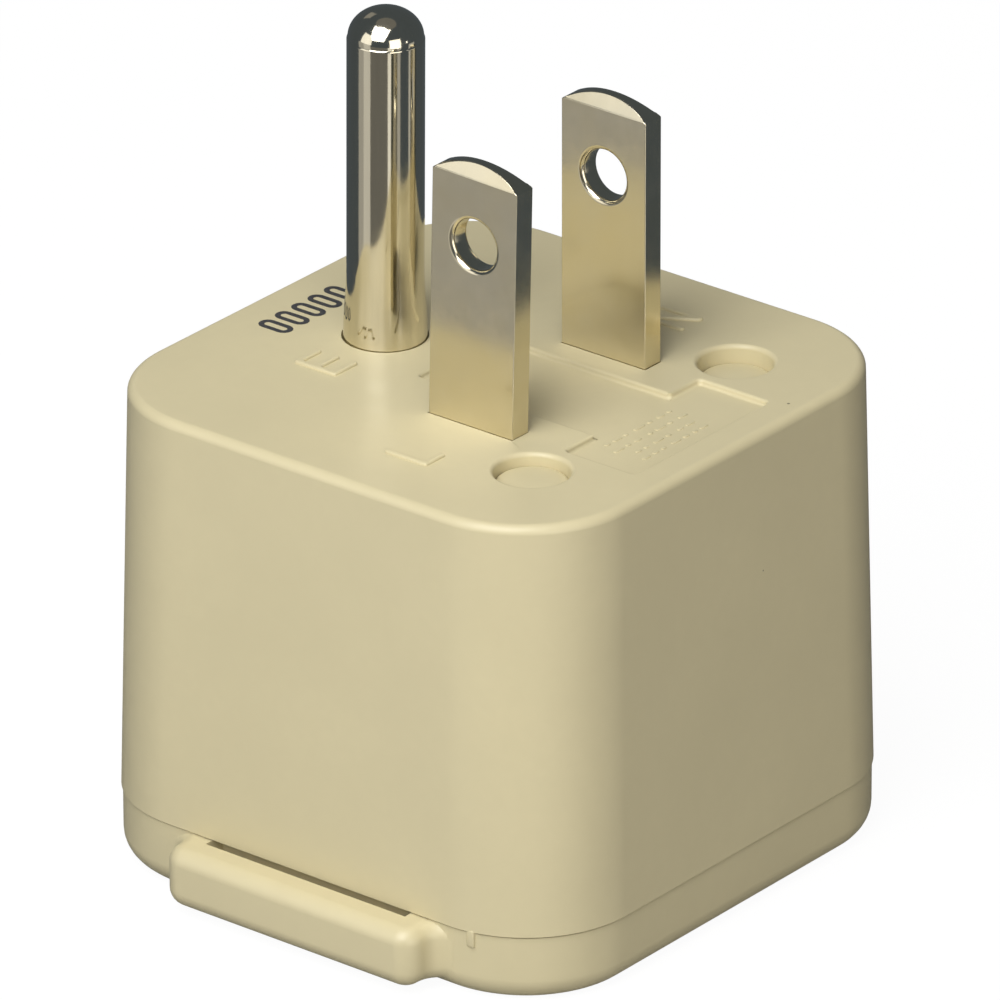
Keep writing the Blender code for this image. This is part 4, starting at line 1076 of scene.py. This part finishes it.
class ADAPTER_OT_raised_marks(bpy.types.Operator):
    """Raise the terminal letters, the short dashes in the panel and the gate's nib"""
    bl_idname = "adapter.raised_marks"
    bl_label = "Raised marks"

    def execute(self, context):
        sizes = context.scene.adapter_sizes
        for letter, x, y in LETTERS:
            self.raise_letter(sizes, letter, x, y)
        self.raise_dashes()
        self.add_nib()
        return {"FINISHED"}

    def raise_letter(self, sizes, letter, x, y):
        """A letter with rounded corners and a rounded ridge, its foot just inside the face."""
        points = [(x + down, y + BODY_Y + along)
                  for down, along in letter_outline(letter, sizes.letter_stroke)]
        top = PLUG_FACE + sizes.letter_raise
        body = trace("letter_" + letter, points, PLUG_FACE - MARK_FOOT, top)
        round_edges(body, upright, LETTER_CORNER, 5)
        round_edges(body, level_at(top), LETTER_RIM, 4)
        finish_piece(body, get_material("shell"))

    def raise_dashes(self):
        """Rows of short, faint dashes in the panel of the recess."""
        base = PLUG_FACE - bpy.context.scene.adapter_sizes.recess_depth
        half = DASH_WIDTH / 2
        top = base + DASH_RAISE
        for number, (x, y, steps) in enumerate(DASH_ROWS, 1):
            row = []
            for dash, gap in zip(steps[::2], steps[1::2]):
                start, end = y * mm + BODY_Y, (y + dash) * mm + BODY_Y
                points = arc(BLADE_X + x * mm, end - half, half, 0, 180, 4)
                points += arc(BLADE_X + x * mm, start + half, half, 180, 360, 4)
                bar = trace("panel_dashes_" + str(number), points, base - MARK_FOOT, top)
                round_edges(bar, level_at(top), 0.6 * DASH_RAISE, 2)
                row.append(bar)
                y += dash + gap
            activate(row[0])
            for bar in row[1:]:
                bar.select_set(True)
            bpy.ops.object.join()
            finish_piece(row[0], get_material("shell"))

    def add_nib(self):
        """The broken gate on the cover's rim, at the start of the front corner."""
        nib = add_box("gate_nib", *body_box(NIB_LOW, NIB_HIGH))
        soften(nib, NIB_EDGE)
        finish_piece(nib, get_material("shell"))


# Printed rings near the earth pin, about the body's axis: their middles and half sizes
RING_START = (-14.25 * mm, -3.5 * mm)
RING_STEP = (0.0, 1.55 * mm)
RING_COUNT = 5
RING_LONG = 1.02 * mm
RING_WIDE = 0.4 * mm
RING_STROKE = 0.36 * mm
INK_HEIGHT = 0.012 * mm


class ADAPTER_OT_printed_marks(bpy.types.Operator):
    """Print a row of plain rings beside the earth pin"""
    bl_idname = "adapter.printed_marks"
    bl_label = "Printed marks"

    def execute(self, context):
        for number in range(RING_COUNT):
            x = RING_START[0] + number * RING_STEP[0]
            y = BODY_Y + RING_START[1] + number * RING_STEP[1]
            outer = self.add_oval("printed_ring_" + str(number + 1), x, y, RING_STROKE / 2, PAST / 100)
            carve(outer, self.add_oval("ring_hole", x, y, -RING_STROKE / 2, PAST / 10))
            finish_piece(outer, get_material("ink"))
        return {"FINISHED"}

    def add_oval(self, name, x, y, grow, depth):
        """An oval slab: two straight sides and two round ends."""
        wide = RING_WIDE + grow
        straight = RING_LONG - RING_WIDE
        points = arc(x + straight, y, wide, -90, 90, 8) + arc(x - straight, y, wide, 90, 270, 8)
        return trace(name, points, PLUG_FACE - depth, PLUG_FACE + INK_HEIGHT + (depth if grow < 0 else 0))


# Pieces that keep their solids, by material
INNER_FINISHES = (
    ("inner", ("contact_carrier",)),
    ("brass", ("line_contact", "neutral_contact", "earth_contact", "earth_washer", "line_rivet_1",
               "line_rivet_2", "neutral_rivet_1", "neutral_rivet_2")),
    ("zinc", ("carrier_screw_line", "carrier_screw_neutral")),
)


class ADAPTER_OT_inner_pieces(bpy.types.Operator):
    """Give the carrier, contacts, rivets, washer and screws of the frame their materials"""
    bl_idname = "adapter.inner_pieces"
    bl_label = "Inner pieces"

    def execute(self, context):
        for key, names in INNER_FINISHES:
            for name in names:
                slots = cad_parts[name].material_slots
                if not slots:
                    raise RuntimeError(name + " has no material slot")
                for slot in slots:
                    slot.material = get_material(key)
        return {"FINISHED"}


# Stage: turns are in degrees from the lip's side towards the screw plugs, heights in degrees up
# from the horizon. Each lamp is its turn and height, its width and height, its watts, its tint, and
# whether metal mirrors it
LAMPS = (
    ("key_softbox", 12, 51, 310 * mm, 430 * mm, 2.22, (1.0, 1.0, 1.0), True),
    ("side_softbox", 67, 7, 260 * mm, 340 * mm, 0.58, (1.0, 0.95, 0.86), True),
    ("back_softbox", -138, 8, 260 * mm, 340 * mm, 0.4, (1.0, 1.0, 1.0), False),
)
LAMP_DISTANCE = 420 * mm
LAMP_AIM = Vector((0, BODY_Y, 24 * mm))
# Cards for the metal to mirror: the turns and heights that each one spans, and how bright it is
CARDS = (
    ("lip_side_wall", (-40, -6), (0, 36), 1.35),
    ("lip_corner_table", (-48, -30), (-60, 0), 0.43),
    ("lip_side_table", (-30, -8), (-60, 0), 0.66),
    ("pin_front_table", (-8, 44), (-60, -6), 0.17),
    ("camera_side_table", (44, 54), (-60, -6), 1.0),
    ("camera_side_margin", (54, 62), (-60, -6), 0.3),
    ("screw_side_table", (72, 82), (-60, -6), 0.45),
    ("screw_side_lamp", (102, 106), (2, 8), 3.0),
    ("far_side_table", (110, 130), (-60, -6), 0.56),
    ("pin_side_wall", (-120, -100), (32, 48), 0.3),
    ("ceiling", (-180, 180), (68, 90), 0.18),
)
CARD_RADIUS = 450 * mm
CARD_FACETS = (180, 90)
ROOM_RADIUS = 1.6
ROOM_LEVEL = 0.10
CARD_CENTRE = Vector((0, BODY_Y, 40 * mm))
CARD_COLOUR = (1.0, 0.98, 0.93, 1.0)
ROOM_COLOUR = (0.75, 0.9, 1.05, 1.0)
WHITE = (1.0, 1.0, 1.0, 1.0)
# The floor as the camera sees it: how much of it glows, how brightly, and the light from all round
FLOOR_SIZE = 6.0
FLOOR_DROP = 0.01 * mm
FLOOR_LIFT = 0.82
FLOOR_GLOW = 1.16
AMBIENT = 0.10


def set_glossy_only(item):
    """Let a piece of the stage show only in reflections."""
    item.visible_camera = False
    item.visible_diffuse = False
    item.visible_transmission = False
    item.visible_volume_scatter = False
    item.visible_shadow = False


def toward(turned, height):
    """The direction from the adapter at a turn and a height in degrees."""
    turned, height = math.radians(turned), math.radians(height)
    return Vector((math.sin(turned) * math.cos(height), -math.cos(turned) * math.cos(height),
                   math.sin(height)))


def glowing(name, rgba, strength):
    """A card that gives light at one strength."""
    material = bpy.data.materials.new(name)
    material.use_nodes = True
    material.node_tree.nodes.clear()
    glow = add_node(material, "Emission", {"Color": rgba, "Strength": strength})
    add_node(material, "OutputMaterial", {"Surface": glow})
    return material


class ADAPTER_OT_stage(bpy.types.Operator):
    """Set the floor, the soft lamps, the reflector cards, the background and the camera"""
    bl_idname = "adapter.stage"
    bl_label = "Stage"

    def execute(self, context):
        self.lay_floor(context)
        for lamp in LAMPS:
            self.hang_lamp(*lamp)
        self.set_cards()
        self.set_background(context.scene)
        self.place_camera(context.scene)
        context.scene.view_settings.view_transform = "Standard"
        return {"FINISHED"}

    def lay_floor(self, context):
        """A pale floor that is close to white in the picture and still takes the shadow."""
        deselect()
        bpy.ops.mesh.primitive_plane_add(size=FLOOR_SIZE, location=(0, 0, -FLOOR_DROP))
        floor = settle("floor")
        material, shader, place = start_material("paper_floor")
        rgba = tuple(context.scene.adapter_colours.floor)
        pulp = add_node(material, "TexNoise", {"Vector": place, "Scale": 1 / (4 * mm)})
        tint = add_node(material, "Mix", {0: pulp, 6: shade(rgba, 0.99), 7: rgba}, 2, data_type="RGBA")
        feed(material, shader, {"Base Color": tint, "Roughness": 0.9, "Specular IOR Level": 0.0})
        share = add_node(material, "Math", {0: seen_directly(material), 1: FLOOR_LIFT},
                         operation="MULTIPLY")
        glow = add_node(material, "Emission", {"Color": WHITE, "Strength": FLOOR_GLOW})
        mixed = add_node(material, "MixShader", {0: share, 1: shader.outputs[0], 2: glow})
        feed(material, material.node_tree.nodes["Material Output"], {"Surface": mixed})
        floor.data.materials.append(material)
        floor.visible_glossy = False

    def hang_lamp(self, name, turned, height, wide, tall, watts, tint, mirrored):
        """A soft lamp that faces the middle of the adapter."""
        deselect()
        back = toward(turned, height)
        spot = LAMP_AIM + back * LAMP_DISTANCE
        bpy.ops.object.light_add(type="AREA", location=spot,
                                 rotation=back.to_track_quat("Z", "Y").to_euler())
        lamp = bpy.context.object
        lamp.name = name
        lamp.data.shape = "RECTANGLE"
        lamp.data.size = wide
        lamp.data.size_y = tall
        lamp.data.energy = watts
        lamp.data.color = tint
        lamp.visible_glossy = mirrored

    def set_cards(self):
        """A dark room for the metal to mirror, and the paler cards that stand round the adapter."""
        room = self.add_ball("dark_room", ROOM_RADIUS)
        room.data.materials.append(glowing("dark_room", ROOM_COLOUR, ROOM_LEVEL))
        for name, turns, heights, level in CARDS:
            card = self.add_ball(name, CARD_RADIUS)
            self.trim_ball(card, turns, heights)
            card.data.materials.append(glowing(name, CARD_COLOUR, level))

    def add_ball(self, name, radius):
        """A big ball round the adapter that only the metal and the plastic's sheen see."""
        deselect()
        segments, rings = CARD_FACETS
        bpy.ops.mesh.primitive_uv_sphere_add(segments=segments, ring_count=rings, radius=radius,
                                             location=CARD_CENTRE)
        ball = settle(name)
        set_glossy_only(ball)
        return ball

    def trim_ball(self, ball, turns, heights):
        """Keep only the part of a ball between two turns and two heights."""
        def outside(face):
            off = face.calc_center_median() - CARD_CENTRE
            turned = math.degrees(math.atan2(off.x, -off.y))
            height = math.degrees(math.asin(off.z / off.length))
            return not (turns[0] < turned < turns[1] and heights[0] < height < heights[1])
        pick(ball, "FACE", outside)
        bpy.ops.mesh.delete(type="FACE")
        deselect()

    def set_background(self, scene):
        """White behind the adapter, and an even grey light from all round."""
        world = bpy.data.worlds.new("studio")
        scene.world = world
        world.use_nodes = True
        world.node_tree.nodes.clear()
        soft = add_node(world, "Background", {"Color": WHITE, "Strength": AMBIENT})
        white = add_node(world, "Background", {"Color": WHITE, "Strength": 1.0})
        mixed = add_node(world, "MixShader", {0: seen_directly(world), 1: soft, 2: white})
        add_node(world, "OutputWorld", {"Surface": mixed})

    def place_camera(self, scene):
        """The camera as fitted: the plug face's middle lands on CAMERA_AIM in the picture."""
        a, e = CAMERA_AZIMUTH, CAMERA_ELEVATION
        back = Vector((math.sin(a) * math.cos(e), -math.cos(a) * math.cos(e), math.sin(e)))
        level = Vector((math.cos(a), math.sin(a), 0))
        rise = back.cross(level)
        right = level * math.cos(CAMERA_ROLL) + rise * math.sin(CAMERA_ROLL)
        up = -level * math.sin(CAMERA_ROLL) + rise * math.cos(CAMERA_ROLL)
        aim = Vector((BLADE_X, BODY_Y, PLUG_FACE))
        off_x = (CAMERA_AIM[0] - PHOTO_WIDTH / 2) / CAMERA_SHARPNESS
        off_y = -(CAMERA_AIM[1] - PHOTO_WIDTH / 2) / CAMERA_SHARPNESS
        place = aim - off_x * right - off_y * up + CAMERA_DISTANCE * back
        matrix = Matrix((right, up, back)).transposed().to_4x4()
        deselect()
        bpy.ops.object.camera_add(location=place, rotation=matrix.to_euler())
        camera = bpy.context.object
        camera.data.sensor_width = SENSOR
        camera.data.lens = CAMERA_SHARPNESS * CAMERA_DISTANCE / PHOTO_WIDTH * SENSOR
        camera.data.clip_start = 0.05
        camera.data.clip_end = 20
        scene.camera = camera


class ADAPTER_PT_sidebar(bpy.types.Panel):
    """Lists the adapter's sizes, colours and build steps."""
    bl_idname = "ADAPTER_PT_sidebar"
    bl_label = "Travel Plug Adapter"
    bl_space_type = "VIEW_3D"
    bl_region_type = "UI"
    bl_category = "Plug Adapter"

    def draw(self, context):
        for group in (context.scene.adapter_sizes, context.scene.adapter_colours):
            column = self.layout.column(align=True)
            for name in group.__annotations__:
                column.prop(group, name)
        for operator in OPERATORS:
            self.layout.operator(operator.bl_idname)


OPERATORS = (ADAPTER_OT_housing, ADAPTER_OT_cover, ADAPTER_OT_blades, ADAPTER_OT_earth_pin,
             ADAPTER_OT_screw_plugs, ADAPTER_OT_raised_marks, ADAPTER_OT_printed_marks,
             ADAPTER_OT_inner_pieces, ADAPTER_OT_stage)
CLASSES = (AdapterSizes, AdapterColours, *OPERATORS, ADAPTER_PT_sidebar)


def register():
    for item in CLASSES:
        bpy.utils.register_class(item)
    bpy.types.Scene.adapter_sizes = bpy.props.PointerProperty(type=AdapterSizes)
    bpy.types.Scene.adapter_colours = bpy.props.PointerProperty(type=AdapterColours)


def unregister():
    del bpy.types.Scene.adapter_sizes
    del bpy.types.Scene.adapter_colours
    for item in reversed(CLASSES):
        bpy.utils.unregister_class(item)


def main():
    """Build everything in order."""
    register()
    for operator in OPERATORS:
        group, name = operator.bl_idname.split(".")
        getattr(getattr(bpy.ops, group), name)()


if __name__ == "__main__":
    main()
